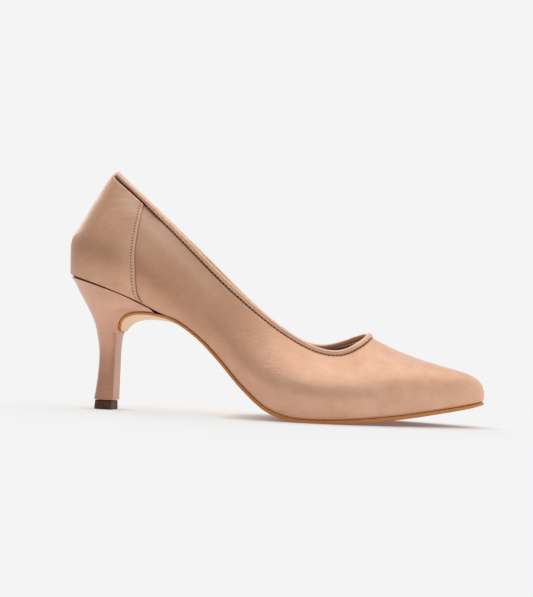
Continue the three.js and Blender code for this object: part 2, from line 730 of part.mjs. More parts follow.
addPiece('vamp_and_quarters', vampAndQuarters(), 'upper');
addPiece('counter_panel', counterPanel(), 'upper');
addPiece('topline_piping', toplinePiping(), 'upper');
Object.entries(linings()).forEach(([name, geometry]) => addPiece(name, geometry, 'lining'));
addPiece('counter_stiffener', shell(stationsRoundHeel(2.5), ROWS.slice(0, 7), STIFFENER), 'board');
const roundToe = stationsBetween(LAST_KEY - 2.5, LAST_KEY + 2.5);
addPiece('toe_puff', shell(roundToe, ROWS.slice(0, 4), STIFFENER), 'board');
addPiece('heel_grip', shell(stationsRoundHeel(2), ROWS.slice(2, 7), GRIP), 'lining');
const insole = insoleParts();
const insoleFinish = {
  insole_board: 'board', shank_board: 'board', steel_shank: 'steel', heel_cushion: 'foam',
  ball_cushion: 'foam', insock: 'lining',
};
Object.entries(insole).forEach(([name, geometry]) => addPiece(name, geometry, insoleFinish[name]));
addPiece('bottom_filler', bottomFiller(), 'foam');
addPiece('outsole', outsole(), 'sole');
addPiece('heel_cover', heelCover(), 'upper');
addPiece('heel_block', heelBlock(), 'core');
addPiece('heel_dowel', dowel(), 'steel');
addPiece('heel_lift', heelLift(), 'rubber');
addPiece('lift_pin', liftPin(), 'steel');
addPiece('heel_screw', pointed(screwLine, SCREW_RADIUS, SCREW_RADIUS * 1.7, 1.6), 'steel');
NAIL_PLACES.forEach((place, i) => {
  addPiece(`heel_nail_${i + 1}`, pointed(nailLine(place), NAIL_RADIUS, NAIL_RADIUS * 2, 1), 'steel');
});
RIVET_PLACES.forEach((x, i) => {
  addPiece(['shank_rivet_rear', 'shank_rivet_front'][i], rod(rivetLine(x), RIVET_RADIUS), 'steel');
});

const box = new THREE.Box3().setFromObject(shoe);
const middle = box.getCenter(new THREE.Vector3());
shoe.position.set(-middle.x, -middle.y, -box.min.z);

export default shoe;
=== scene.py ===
"""High heel pump, right shoe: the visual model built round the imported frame.

Lengths below are millimetres unless a name says otherwise; a mesh is turned into metres when it is made.
Heel to toe runs along +X, the lateral side faces -Y, and the floor is Z = 0.
"""
import math

import bmesh
import bpy
import numpy as np
from mathutils import Matrix, Vector


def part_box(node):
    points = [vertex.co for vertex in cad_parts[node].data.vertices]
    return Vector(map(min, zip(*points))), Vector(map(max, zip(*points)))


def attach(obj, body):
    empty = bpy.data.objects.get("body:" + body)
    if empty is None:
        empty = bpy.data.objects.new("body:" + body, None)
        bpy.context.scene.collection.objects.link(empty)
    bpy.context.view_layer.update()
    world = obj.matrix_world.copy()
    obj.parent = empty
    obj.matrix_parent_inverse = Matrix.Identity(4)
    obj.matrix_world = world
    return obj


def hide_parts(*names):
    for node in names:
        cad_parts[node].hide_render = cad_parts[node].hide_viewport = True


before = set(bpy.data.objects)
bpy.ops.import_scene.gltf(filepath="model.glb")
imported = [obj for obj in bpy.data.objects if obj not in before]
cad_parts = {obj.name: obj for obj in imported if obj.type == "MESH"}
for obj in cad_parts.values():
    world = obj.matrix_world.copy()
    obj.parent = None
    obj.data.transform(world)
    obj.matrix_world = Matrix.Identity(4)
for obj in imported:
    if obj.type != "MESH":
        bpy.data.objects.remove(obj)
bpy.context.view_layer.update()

MM = 0.001

# -------- design values, as in the CAD model

FEATHER = [  # x, lateral y, medial y
    (-117.1, 0, 0), (-109.8, -14.6, 14.6), (-94, -23, 23), (-73, -25.4, 24.6), (-50, -24.5, 18.6),
    (-27, -27.5, 17.8), (-4, -34.5, 24.5), (18, -39, 34), (42, -38.5, 38), (65, -32.5, 34),
    (86, -23.5, 26), (103, -14, 16.8), (114.5, -6.2, 8.4), (118.8, 1, 1),
]
TOP_LATERAL = [
    (-95.3, 0, 135.2), (-91.6, -7.4, 132.2), (-83, -14, 125.6), (-65, -20.6, 110.8),
    (-44, -24.4, 92.2), (-23, -26.2, 73), (-3, -26.6, 56.6), (14, -25.7, 44.8),
    (30, -24.8, 37.3), (43, -22.3, 36.2), (51, -18, 39.6), (55.4, -12.3, 43.1),
    (57.1, -5.5, 45.7), (57.6, 2, 46.6),
]
TOP_MEDIAL = [
    (-91.6, 7.4, 131), (-83, 13.8, 123.2), (-65, 20.2, 106.9), (-44, 23, 88), (-23, 23.8, 68.6),
    (-4, 23.4, 52.9), (12, 22.5, 42.8), (26, 21.6, 39.3), (38, 19.7, 41.2), (46.5, 16.4, 44),
    (52.4, 11.8, 46), (56.3, 7.2, 46.6),
]
WALL = [  # how far up the rib, then how far out, the four inner poles stand
    (0.05, 0.313, 0.379, 0.7, 0.9, 9.3, 5.2, 3.8), (0.064, 0.289, 0.428, 0.752, 1.6, 8, 5.5, 3.1),
    (0.078, 0.272, 0.48, 0.802, 1.8, 6.3, 5.1, 2.2), (0.09, 0.27, 0.52, 0.82, 1.6, 4.4, 4, 1.5),
    (0.095, 0.28, 0.53, 0.82, 1.6, 3.6, 3.4, 1.2), (0.1, 0.28, 0.54, 0.82, 2, 4.2, 3.6, 1.3),
    (0.1, 0.28, 0.54, 0.82, 2.6, 6, 4.8, 1.5), (0.1, 0.29, 0.55, 0.82, 3.2, 8.2, 6.6, 2.1),
    (0.095, 0.3, 0.58, 0.83, 3.8, 9.4, 7.4, 2.6), (0.08, 0.32, 0.63, 0.85, 4.2, 10.6, 7.4, 2.8),
    (0.056, 0.31, 0.64, 0.86, 4.5, 11.6, 6.6, 2.4), (0.03, 0.21, 0.53, 0.82, 4.6, 12.3, 6.5, 1.6),
    (0.012, 0.125, 0.43, 0.78, 4.2, 12.5, 6.2, 0.6), (0.008, 0.093, 0.385, 0.765, 4, 12.1, 5.9, 0.1),
]
FEATHER_HEIGHT = [  # x, z
    (-118.2, 76.9), (-94, 69.6), (-80, 65), (-66, 58.9), (-58, 55.3), (-46, 50.3), (-34, 42.1), (-22, 31.1),
    (-9.6, 18.6), (3.3, 8.2), (12.5, 4), (22, 2), (40, 2), (55.6, 3.2), (75.8, 5.7), (96.3, 9.3),
    (110, 11.9), (118.8, 14.1),
]
HEEL = [  # back x and z, front corner x, z and y, widest half width, breast bulge
    (-101.1, 5.5, -88.2, 5.5, 6.3, 7, 0), (-100.2, 12, -88.2, 12, 6.1, 6.8, 0),
    (-99.2, 24, -88.2, 24, 5.9, 6.6, 0), (-99.3, 34, -88.2, 34.5, 5.9, 7.3, 0.2),
    (-100.6, 42.5, -87.8, 42.2, 7, 9.7, 0.4), (-102.3, 49.5, -86.3, 48.2, 9.8, 13.2, 1),
    (-105.3, 56, -83, 52.6, 13.4, 17.2, 1.7), (-109.2, 62.5, -77.6, 55.2, 17, 20.8, 2.1),
    (-113.1, 68.4, -70.8, 56.1, 20.4, 23.4, 2.2), (-117, 73.2, -64.6, 56, 22.8, 25.2, 2),
    (-118.5, 76.1, -60.2, 55.5, 24.3, 26.2, 1.8),
]
FLAP = [  # outsole edge behind x = -60: x, z, lateral y, medial y
    (-60.5, 55.1, -24, 21.5), (-70.8, 55.8, -20.2, 19.8), (-77.6, 54.9, -16.8, 16.8),
    (-83, 52.3, -13.2, 13.2), (-85.8, 48.4, -9, 9), (-86.6, 45.2, -4.8, 4.8), (-86.1, 43.8, 0, 0),
]
SEAM_STATION = [(0, 3.29), (0.04, 3.17), (0.1, 3.1), (0.24, 3.04), (0.41, 2.98), (0.585, 2.885), (1, 2.68)]

LEATHER = 1.1
GAP = 0.3
LINING = (2.4, 3.2)
GRIP = (3.5, 4.3)
PIPING_INSET = 1.5
PIPING_HALF_THICK = 1.35
PIPING_HALF_HEIGHT = [(0, 1.2), (2.5, 1.3), (5, 1.42), (8, 1.4), (10.5, 1.5), (13, 1.2)]
MARGIN, HEEL_MARGIN, TOE_MARGIN = 11, 8, 5
SOLE_THICK, WAIST_THICK = 1.8, 1.3
COVER_THICK = 0.7
LIFT_BACK, LIFT_FRONT, LIFT_HALF_WIDTH, LIFT_FLARE, LIFT_TOP = -100.4, -89.1, 6.6, 0.35, 5.1

LAST_KEY = len(FEATHER) - 1
KEYS = 2 * LAST_KEY

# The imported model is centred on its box: the dowel's axis and the lift's back edge tell by how much.
dowel_low, dowel_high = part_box("heel_dowel")
lift_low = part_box("heel_lift")[0]
SHIFT = np.array([
    lift_low[0] / MM - (LIFT_BACK - LIFT_FLARE),
    (dowel_low[1] + dowel_high[1]) / 2 / MM,
    0,
])

# -------- curves and the last surface


def profile(points):
    """Smooth curve through (x, y) points, for arrays of x."""
    x, y = np.array(points, float).T
    i = np.arange(len(x))
    before, after = np.maximum(i - 1, 0), np.minimum(i + 1, len(x) - 1)
    slope = (y[after] - y[before]) / (x[after] - x[before])

    def at(value):
        value = np.asarray(value, float)
        k = np.clip(np.searchsorted(x, value, side="left") - 1, 0, len(x) - 2)
        span = x[k + 1] - x[k]
        t = np.clip((value - x[k]) / span, 0, 1)
        rise = y[k + 1] - y[k]
        a = slope[k] * span - rise
        b = rise - slope[k + 1] * span
        return y[k] + t * rise + t * (1 - t) * (a * (1 - t) + b * t)

    return at


def ring_curve(points):
    """Closed curve with even curvature through a ring of points, one point at each whole number u."""
    points = np.array(points, float)
    n = len(points)
    matrix = 4 * np.eye(n) + np.roll(np.eye(n), 1, 0) + np.roll(np.eye(n), -1, 0)
    slopes = np.linalg.solve(matrix, 3 * (np.roll(points, -1, 0) - np.roll(points, 1, 0)))

    def at(u):
        u = np.asarray(u, float)
        whole = np.floor(u).astype(int)
        t = (u - whole)[..., None]
        i, j = whole % n, (whole + 1) % n
        rise = points[j] - points[i]
        a = slopes[i] - rise
        b = rise - slopes[j]
        return points[i] + t * rise + t * (1 - t) * (a * (1 - t) + b * t)

    return at


def pole_weights(v):
    """Weights of the six poles of a clamped cubic B-spline."""
    knots = [0, 0, 0, 0, 1 / 3, 2 / 3, 1, 1, 1, 1]
    t = np.clip(np.asarray(v, float), 0, 0.999999)
    weights = [((t >= knots[i]) & (t < knots[i + 1])).astype(float) for i in range(9)]
    for degree in (1, 2, 3):
        for i in range(len(weights) - 1):
            left = knots[i + degree] - knots[i]
            right = knots[i + degree + 1] - knots[i + 1]
            a = (t - knots[i]) / left * weights[i] if left > 0 else 0
            b = (knots[i + degree + 1] - t) / right * weights[i + 1] if right > 0 else 0
            weights[i] = a + b
        weights.pop()
    return np.stack(weights, -1)


def unit(vectors):
    return vectors / np.linalg.norm(vectors, axis=-1, keepdims=True)


def smoothstep(value, low, high):
    t = np.clip((np.asarray(value, float) - low) / (high - low), 0, 1)
    return t * t * (3 - 2 * t)


feather_height = profile(FEATHER_HEIGHT)


def plan_turn(ring, u):
    """Direction of a ring seen from above."""
    turn = ring(u + 0.01) - ring(u - 0.01)
    turn[..., 2] = 0
    return unit(turn)


def last_rings():
    foot, top, wall = [], [], []
    for key in range(KEYS):
        medial = key > LAST_KEY
        row = KEYS - key if medial else key
        x, lateral_y, medial_y = FEATHER[row]
        foot.append((x, medial_y if medial else lateral_y, float(feather_height(x))))
        top.append(TOP_MEDIAL[row - 1] if medial else TOP_LATERAL[row])
        wall.append(WALL[row])
    foot, top, wall = np.array(foot), np.array(top, float), np.array(wall)
    turn = plan_turn(ring_curve(foot), np.arange(KEYS))
    rib = top - foot
    along = unit(rib)
    out = 15 * np.stack([turn[:, 1], -turn[:, 0], np.zeros(KEYS)], -1)
    out = unit(out - rib * (1, 1, 0))
    out = unit(out - along * np.sum(out * along, -1, keepdims=True))
    inner = [foot + rib * wall[:, k:k + 1] + out * wall[:, k + 4:k + 5] for k in range(4)]
    return [ring_curve(level) for level in (foot, *inner, top)]


RINGS = last_rings()


def surface(u, v):
    u, v = np.broadcast_arrays(np.asarray(u, float), np.asarray(v, float))
    weights = pole_weights(v)
    return sum(weights[..., k:k + 1] * RINGS[k](u) for k in range(6))


def surface_frame(u, v):
    """Point, outward normal and upward tangent of the last surface."""
    step = 0.01
    low, high = np.maximum(v - step, 0), np.minimum(v + step, 1)
    rise = surface(u, high) - surface(u, low)
    turn = surface(u + step, v) - surface(u - step, v)
    return surface(u, v), unit(np.cross(turn, rise)), unit(rise)


def layer(u, v, depth):
    point, normal, _ = surface_frame(u, v)
    return point - normal * depth


def inset_feather(u, inset, height):
    turn = plan_turn(RINGS[0], u)
    point = RINGS[0](u)
    x = point[..., 0] - turn[..., 1] * inset
    y = point[..., 1] + turn[..., 0] * inset
    return np.stack(np.broadcast_arrays(x, y, feather_height(x) + height), -1)


def waves(points, scale, seed):
    """Smooth seeded unevenness between about -1 and 1, from sine waves in random directions."""
    random = np.random.default_rng(seed)
    total = np.zeros(points.shape[:-1])
    for octave in range(3):
        for _ in range(4):
            direction = unit(random.normal(size=3)) * 2 * math.pi / scale * 1.7 ** octave
            total += np.sin(points @ direction + random.uniform(0, 2 * math.pi)) / 1.6 ** octave
    return total / 4


# -------- mesh making


def finish_mesh(name, mesh, materials, merge=2e-6, sharp_degrees=40):
    work = bmesh.new()
    work.from_mesh(mesh)
    bmesh.ops.remove_doubles(work, verts=work.verts, dist=merge)
    bmesh.ops.dissolve_degenerate(work, edges=work.edges, dist=merge / 2)
    bmesh.ops.recalc_face_normals(work, faces=work.faces)
    work.to_mesh(mesh)
    work.free()
    for material in materials:
        mesh.materials.append(material)
    mesh.shade_smooth()
    mesh.set_sharp_from_angle(angle=math.radians(sharp_degrees))
    piece = bpy.data.objects.new(name, mesh)
    bpy.context.scene.collection.objects.link(piece)
    return piece


def loft(name, loops, closed, materials, kinds=None, tone=None, sharp_degrees=40):
    """Closed solid through loops of points (n, m, 3); kinds gives a material index for each loop point."""
    n, m = loops.shape[:2]
    mesh = bpy.data.meshes.new(name)
    i = np.arange(n if closed else n - 1)[:, None]
    j = np.arange(m)[None, :]
    k = (j + 1) % m
    nxt = (i + 1) % n
    quads = np.stack(np.broadcast_arrays(i * m + j, i * m + k, nxt * m + k, nxt * m + j), -1).reshape(-1, 4)
    index = np.tile(np.zeros(m, int) if kinds is None else kinds, i.shape[0])
    if not closed:
        half = np.arange(m // 2 - 1)
        ladder = np.stack([half, half + 1, m - 2 - half, m - 1 - half], -1)
        quads = np.concatenate([quads, ladder, ladder + (n - 1) * m])
        index = np.concatenate([index, np.full(2 * len(half), index[0])])
    points = (loops.reshape(-1, 3) + SHIFT) * MM
    mesh.from_pydata(points.tolist(), [], quads.tolist())
    mesh.polygons.foreach_set("material_index", index.astype(np.int32))
    if tone is not None:
        layer_data = mesh.attributes.new("tone", "FLOAT", "POINT")
        layer_data.data.foreach_set("value", tone.reshape(-1).astype(np.float32))
    return finish_mesh(name, mesh, materials, sharp_degrees=sharp_degrees)


EDGE_ROWS = (0, 0.12, 0.26, 0.42, 0.6, 0.8, 1.0, 1.25, 1.55, 1.95, 2.5, 3.3)


def rib_lengths(u):
    """Length of the wall from the feather edge to the topline, for each station."""
    ribs = surface(u[:, None], np.linspace(0, 1, 40)[None, :])
    return np.linalg.norm(np.diff(ribs, axis=1), axis=-1).sum(1)


def wall_rows(u, bottom, count):
    """v for each station and row: even from the bottom, then close together under the topline."""
    near = 1 - np.array(EDGE_ROWS)[::-1][None, :] / rib_lengths(u)[:, None]
    spread = np.linspace(0, 1, count, endpoint=False)[None, :]
    even = bottom + (near[:, :1] - bottom) * spread
    return np.concatenate([even, near], 1)


def edge_arc(point, normal, rise, outer, inner):
    """Points round a cut or folded edge, from the outer depth over to the inner depth."""
    radius = (inner - outer) / 2
    angles = np.linspace(0, math.pi, 7)[1:-1]
    depth = outer + radius * (1 - np.cos(angles))
    lift = radius * np.sin(angles)
    return point[:, None] - normal[:, None] * depth[None, :, None] + rise[:, None] * lift[None, :, None]


def shell_loops(u, v, outer, inner):
    """Loops over the wall between two depths, with a round top edge."""
    point, normal, rise = surface_frame(u[:, None], v)
    outside = point - normal * outer
    inside = point - normal * inner
    arc = edge_arc(point[:, -1], normal[:, -1], rise[:, -1], outer, inner)
    return outside, arc, inside[:, ::-1]


# -------- materials


class Shader:
    """A material with a Principled node and short ways to add and join texture nodes."""

    def __init__(self, name, **values):
        self.material = bpy.data.materials.new(name)
        self.material.use_nodes = True
        self.tree = self.material.node_tree
        self.surface = self.tree.nodes["Principled BSDF"]
        for socket, value in values.items():
            self.surface.inputs[socket.replace("_", " ")].default_value = value
        self.place = self.add("ShaderNodeTexCoord").outputs["Object"]

    def add(self, kind, **settings):
        node = self.tree.nodes.new(kind)
        for key, value in settings.items():
            setattr(node, key, value)
        return node

    def join(self, source, target):
        self.tree.links.new(source, target)

    def stretched(self, scale):
        mapping = self.add("ShaderNodeMapping")
        mapping.inputs["Scale"].default_value = scale
        self.join(self.place, mapping.inputs["Vector"])
        return mapping.outputs["Vector"]

    def noise(self, scale, detail=3.0, rough=0.55, stretch=None, distortion=0.0):
        node = self.add("ShaderNodeTexNoise")
        node.inputs["Scale"].default_value = scale
        node.inputs["Detail"].default_value = detail
        node.inputs["Roughness"].default_value = rough
        node.inputs["Distortion"].default_value = distortion
        self.join(self.stretched(stretch) if stretch else self.place, node.inputs["Vector"])
        return node.outputs["Fac"]

    def cells(self, scale, feature="F1", smooth=None):
        node = self.add("ShaderNodeTexVoronoi", feature=feature)
        node.inputs["Scale"].default_value = scale
        if smooth is not None:
            node.inputs["Smoothness"].default_value = smooth
        self.join(self.place, node.inputs["Vector"])
        return node.outputs["Distance"]

    def tone(self):
        return self.add("ShaderNodeAttribute", attribute_name="tone").outputs["Fac"]

    def remap(self, value, low, high, to_low=0.0, to_high=1.0):
        node = self.add("ShaderNodeMapRange")
        numbers = {"From Min": low, "From Max": high, "To Min": to_low, "To Max": to_high}
        for socket, number in numbers.items():
            node.inputs[socket].default_value = number
        self.join(value, node.inputs["Value"])
        return node.outputs["Result"]

    def times(self, value, factor):
        node = self.add("ShaderNodeMath", operation="MULTIPLY")
        node.inputs[1].default_value = factor
        self.join(value, node.inputs[0])
        return node.outputs["Value"]

    def mix(self, factor, first, second):
        node = self.add("ShaderNodeMix", data_type="RGBA")
        self.join(factor, node.inputs[0])
        for socket, value in ((node.inputs[6], first), (node.inputs[7], second)):
            if isinstance(value, tuple):
                socket.default_value = (*value, 1.0)
            else:
                self.join(value, socket)
        return node.outputs[2]

    def bump(self, height, distance, strength=1.0, under=None):
        node = self.add("ShaderNodeBump")
        node.inputs["Strength"].default_value = strength
        node.inputs["Distance"].default_value = distance
        self.join(height, node.inputs["Height"])
        if under is not None:
            self.join(under, node.inputs["Normal"])
        return node.outputs["Normal"]

    def use(self, colour, roughness, normal):
        for source, socket in ((colour, "Base Color"), (roughness, "Roughness"), (normal, "Normal")):
            self.join(source, self.surface.inputs[socket])
        return self.material


CREASE_SHADE_COLOUR = (0.055, 0.018, 0.011)  # painted shade deep in a seam or crease, near black
PAINTED_HIGHLIGHT_COLOUR = (1.0, 0.70, 0.54)  # painted highlight, pale, mixed in where the painted shading goes below zero
PEARL = 0.34  # how much of the leather shines like metal


def smooth_leather(name, light, base, dark, rough=(0.34, 0.46), coat=0.15):
    """Dyed leather with a pearl finish: cloudy dye, fine pebble grain, pores and faint creases, with painted
    shade and a painted highlight read from a point attribute.
    """
    s = Shader(name, Specular_IOR_Level=0.42, Coat_Weight=coat, Coat_Roughness=0.3, Metallic=PEARL)
    cloud = s.remap(s.noise(26, 4, 0.6, distortion=0.6), 0.32, 0.68)
    fine_cloud = s.remap(s.noise(130, 5, 0.65), 0.3, 0.7)
    colour = s.mix(cloud, base, light)
    colour = s.mix(s.times(fine_cloud, 0.22), colour, dark)
    # Painted shade and painted highlight from the point attribute: up to 1 it darkens towards dark, past 0.6
    # towards near-black, and below zero it lightens.
    colour = s.mix(s.tone(), colour, dark)
    colour = s.mix(s.remap(s.tone(), 0.6, 1.0), colour, CREASE_SHADE_COLOUR)
    colour = s.mix(s.remap(s.tone(), 0.0, -1.0), colour, PAINTED_HIGHLIGHT_COLOUR)
    pores = s.remap(s.cells(1500), 0.0, 0.22, 1.0, 0.0)
    colour = s.mix(s.times(pores, 0.16), colour, dark)
    pebbles = s.cells(1150, "SMOOTH_F1", 0.35)
    creases = s.noise(95, 5, 0.62, stretch=(0.45, 1.0, 1.6), distortion=0.9)
    normal = s.bump(creases, 0.0009, 0.35)
    normal = s.bump(pebbles, 0.00012, 0.5, normal)
    normal = s.bump(s.noise(2600, 3), 0.00004, 0.5, normal)
    return s.use(colour, s.remap(fine_cloud, 0, 1, *rough), normal)


def textured(name, light, dark, noise, stretch, rough, relief, span=(0.3, 0.7), grain=None, **values):
    """Material whose colour and roughness follow one noise; the relief follows it too, or a finer grain."""
    s = Shader(name, **values)
    pattern = s.noise(*noise, stretch=stretch)
    colour = s.mix(s.remap(pattern, *span), light, dark)
    raised = s.noise(*grain) if grain else pattern
    return s.use(colour, s.remap(pattern, 0, 1, *rough), s.bump(raised, *relief))


def lining_leather(name, light, dark):
    s = Shader(name, Specular_IOR_Level=0.3)
    cloud = s.remap(s.noise(60, 4, 0.6), 0.3, 0.7)
    colour = s.mix(cloud, light, dark)
    grain = s.cells(900, "SMOOTH_F1", 0.5)
    normal = s.bump(grain, 0.00012, 0.5)
    normal = s.bump(s.noise(240, 4), 0.0003, 0.3, normal)
    return s.use(colour, s.remap(s.noise(300, 3), 0, 1, 0.55, 0.75), normal)


def sole_underside(name):
    """Cream sole sheet with a fine rubbed grain and light scuffs."""
    s = Shader(name, Specular_IOR_Level=0.4)
    cloud = s.remap(s.noise(45, 4, 0.6), 0.3, 0.7)
    colour = s.mix(cloud, (0.90, 0.62, 0.38), (0.93, 0.69, 0.46))
    scuffs = s.remap(s.noise(70, 6, 0.7, stretch=(0.25, 3.0, 1.0)), 0.6, 0.78)
    colour = s.mix(s.times(scuffs, 0.3), colour, (0.55, 0.38, 0.24))
    normal = s.bump(s.noise(1400, 4, 0.7), 0.00008, 0.6)
    return s.use(colour, s.remap(s.noise(220, 4), 0, 1, 0.42, 0.62), normal)


def heel_rubber(name, light, dark):
    return textured(name, light, dark, (400, 5, 0.7), None, (0.45, 0.65), (0.00006, 0.6),
                    grain=(1800, 4, 0.7), Specular_IOR_Level=0.22)


def thread(name, light, dark):
    """Twisted sewing thread."""
    return textured(name, light, dark, (2400, 3, 0.6), (1.0, 1.0, 2.5), (0.55, 0.8), (0.0001, 0.8),
                    span=(0.35, 0.65), Specular_IOR_Level=0.35, Sheen_Weight=0.2)


def foam(name):
    s = Shader(name, Specular_IOR_Level=0.2)
    bubbles = s.cells(1300)
    colour = s.mix(s.remap(bubbles, 0.1, 0.6), (0.60, 0.54, 0.42), (0.74, 0.69, 0.58))
    return s.use(colour, s.remap(bubbles, 0, 1, 0.8, 0.95), s.bump(bubbles, 0.0001, 0.7))


UPPER = smooth_leather("upper_leather", (0.89, 0.53, 0.36), (0.81, 0.445, 0.275), (0.46, 0.205, 0.10))
COVER = smooth_leather("cover_leather", (0.85, 0.49, 0.34), (0.78, 0.43, 0.285), (0.42, 0.19, 0.105),
                       rough=(0.28, 0.42), coat=0.2)
PIPING = smooth_leather("piping_leather", (0.92, 0.57, 0.39), (0.84, 0.50, 0.33), (0.42, 0.18, 0.095),
                        rough=(0.3, 0.42), coat=0.2)
LINER = lining_leather("lining_leather", (0.40, 0.23, 0.15), (0.32, 0.18, 0.115))
SOCK = lining_leather("insock_leather", (0.52, 0.32, 0.21), (0.44, 0.26, 0.17))
GRIP_SUEDE = textured("grip_suede", (0.36, 0.21, 0.14), (0.28, 0.16, 0.10), (520, 4, 0.7), (1, 1, 0.4),
                      (0.82, 0.96), (0.0001, 0.7), grain=(3200, 3), Specular_IOR_Level=0.2,
                      Sheen_Weight=0.35, Sheen_Roughness=0.5)
SOLE = sole_underside("sole_underside")
SOLE_EDGE = textured("sole_edge", (0.70, 0.27, 0.055), (0.52, 0.18, 0.035), (260, 4, 0.7), (0.15, 0.15, 9.0),
                     (0.32, 0.5), (0.0001, 0.5), Specular_IOR_Level=0.5, Coat_Weight=0.2, Coat_Roughness=0.3)
LIFT = heel_rubber("lift_rubber", (0.115, 0.05, 0.028), (0.08, 0.034, 0.02))
LIFT_FACE = heel_rubber("lift_face", (0.03, 0.02, 0.016), (0.015, 0.01, 0.009))
THREAD = thread("thread", (0.56, 0.34, 0.23), (0.42, 0.24, 0.15))
PALE_THREAD = thread("pale_thread", (0.80, 0.66, 0.58), (0.66, 0.50, 0.42))
# painted shade: dark marks that stand for the shade inside the needle holes
HOLE_SHADE = heel_rubber("needle_hole_shade", (0.06, 0.025, 0.015), (0.03, 0.012, 0.008))
STEEL = textured("steel", (0.55, 0.55, 0.56), (0.42, 0.42, 0.43), (900, 4, 0.6), (0.2, 1.0, 1.0),
                 (0.28, 0.5), (0.00003, 0.6), Metallic=1.0)
BOARD = textured("fibre_board", (0.42, 0.31, 0.20), (0.30, 0.21, 0.13), (700, 6, 0.75), (0.3, 1.0, 1.0),
                 (0.8, 0.95), (0.0001, 0.6), Specular_IOR_Level=0.2)
FOAM = foam("foam")
CORE = textured("heel_core", (0.66, 0.63, 0.57), (0.60, 0.57, 0.51), (120, 4, 0.6), None, (0.4, 0.55),
                (0.00005, 0.4), grain=(900, 3), Specular_IOR_Level=0.45)

# -------- upper


def margin_width(u):
    from_tip = np.abs(u - LAST_KEY)
    toe = TOE_MARGIN + (MARGIN - TOE_MARGIN) * smoothstep(from_tip, 0.8, 3.2)
    return toe - (MARGIN - HEEL_MARGIN) * smoothstep(from_tip, 9, 11.5)


STITCH_PITCH = 2.2


def arc_length(points):
    steps = np.linalg.norm(np.diff(points, axis=0), axis=-1)
    return np.concatenate([[0], np.cumsum(steps)])


def topline_positions(pitch):
    """Stations of evenly spaced marks along the topline."""
    u = np.linspace(0, KEYS, 4000)
    length = arc_length(surface(u, np.ones_like(u)))
    count = int(length[-1] / pitch)
    marks = (np.arange(count) + 0.5) * length[-1] / count
    return np.interp(marks, length, u)


FOOT_RADIUS = 0.8  # where the upper turns under the insole


def crease_shade(station, below):
    """Painted shading of the upper: painted shade in the crease under the binding, a painted highlight below
    it, a painted band of shade lower down on the quarters and a faint painted shade that fades out towards
    the toe.
    """
    behind_counter = 1 - smoothstep(station, 3.0, 3.35)
    forward = smoothstep(station, 4.2, 7.5)
    reach = 0.7 - 0.35 * forward + 0.9 * behind_counter
    crease = (1 - 0.45 * forward) * np.exp(-(below / reach) ** 2)
    gleam = 0.55 * np.exp(-((below - 4.5) / 3.5) ** 2) * (1 - smoothstep(station, 3.4, 5.4))
    # painted shade: a dark band on the quarters, and a faint shade over the rear and waist
    band_shade = 0.45 * np.exp(-((below - 27) / 9) ** 2) * (1 - smoothstep(station, 4.2, 5.6))
    band_shade = band_shade + 0.12 * (1 - smoothstep(station, 5.5, 8.5))
    return np.clip(crease + band_shade - gleam, -1, 1)


def make_upper():
    u = np.linspace(0, KEYS, 561)[:-1]
    v = wall_rows(u, 0.03, 46)
    below = (1 - v) * rib_lengths(u)[:, None]
    point, normal, rise = surface_frame(u[:, None], v)
    station = np.minimum(u, KEYS - u)[:, None]
    forward = smoothstep(station, 4.2, 7.5)
    roll = (0.6 - 0.45 * forward) * np.exp(-below / 0.5)
    fade = smoothstep(below, 3, 12) * smoothstep(v, 0.02, 0.2)
    uneven = 0.10 * waves(point, 34, 5) * fade
    outside = point - normal * (roll + uneven)[..., None]
    inside = (point - normal * LEATHER)[:, ::-1]
    arc = edge_arc(point[:, -1], normal[:, -1], rise[:, -1], 0.35, LEATHER)
    margin = margin_width(u)[:, None]
    angles = np.radians([0, 25, 50, 72])[None, :]
    corner = inset_feather(u[:, None], FOOT_RADIUS * (1 - np.sin(angles)), FOOT_RADIUS * (1 - np.cos(angles)))
    flange = inset_feather(u[:, None], margin * np.array([[1, 0.75, 0.5, 0.3]]), np.zeros((1, 4)))
    inner_margin = np.maximum(margin * np.array([[0.15, 0.3, 0.5, 0.75, 1]]), LEATHER + 0.2)
    back = inset_feather(u[:, None], inner_margin, np.full((1, 5), LEATHER))
    loops = np.concatenate([flange, corner, outside, arc, inside, back], 1)
    count = flange.shape[1] + corner.shape[1]
    tone = np.zeros(loops.shape[:2])
    # painted shade on the margin turned under the insole
    tone[:, :count] = 0.35
    rows = outside.shape[1]
    tone[:, count:count + rows] = crease_shade(station, below)
    # painted shade, near black, round the folded top edge in the crease under the binding
    tone[:, count + rows:count + rows + 3] = 1
    return loft("upper", loops, True, [UPPER], tone=tone)


seam_station = profile(SEAM_STATION)
MM_PER_STATION = 21.0  # arc length of one station beside the counter seam
PANEL_HEIGHT = 1.3
PANEL_DROP = 0.8  # how far the panel stays below the topline
PANEL_WALL = 60  # height of the wall at the panel
PANEL_ROWS = np.array([3.4, 2.4, 1.7, 1.2, 0.8, 0.5, 0.25, 0.1, 0])  # rows under its top edge
PANEL_COLUMNS = np.array([  # columns behind its folded edge
    0, 0.05, 0.15, 0.3, 0.5, 0.75, 1.0, 1.3, 1.6, 1.85, 2.05, 2.2, 2.35, 2.5, 2.7, 2.95, 3.3, 3.8, 4.5,
])
PANEL_UNDERSIDE = 0.06  # height of the inner face above the upper
COUNTER_STITCH = 2.0  # distance of the stitch row behind the folded edge
COUNTER_PITCH = 1.75


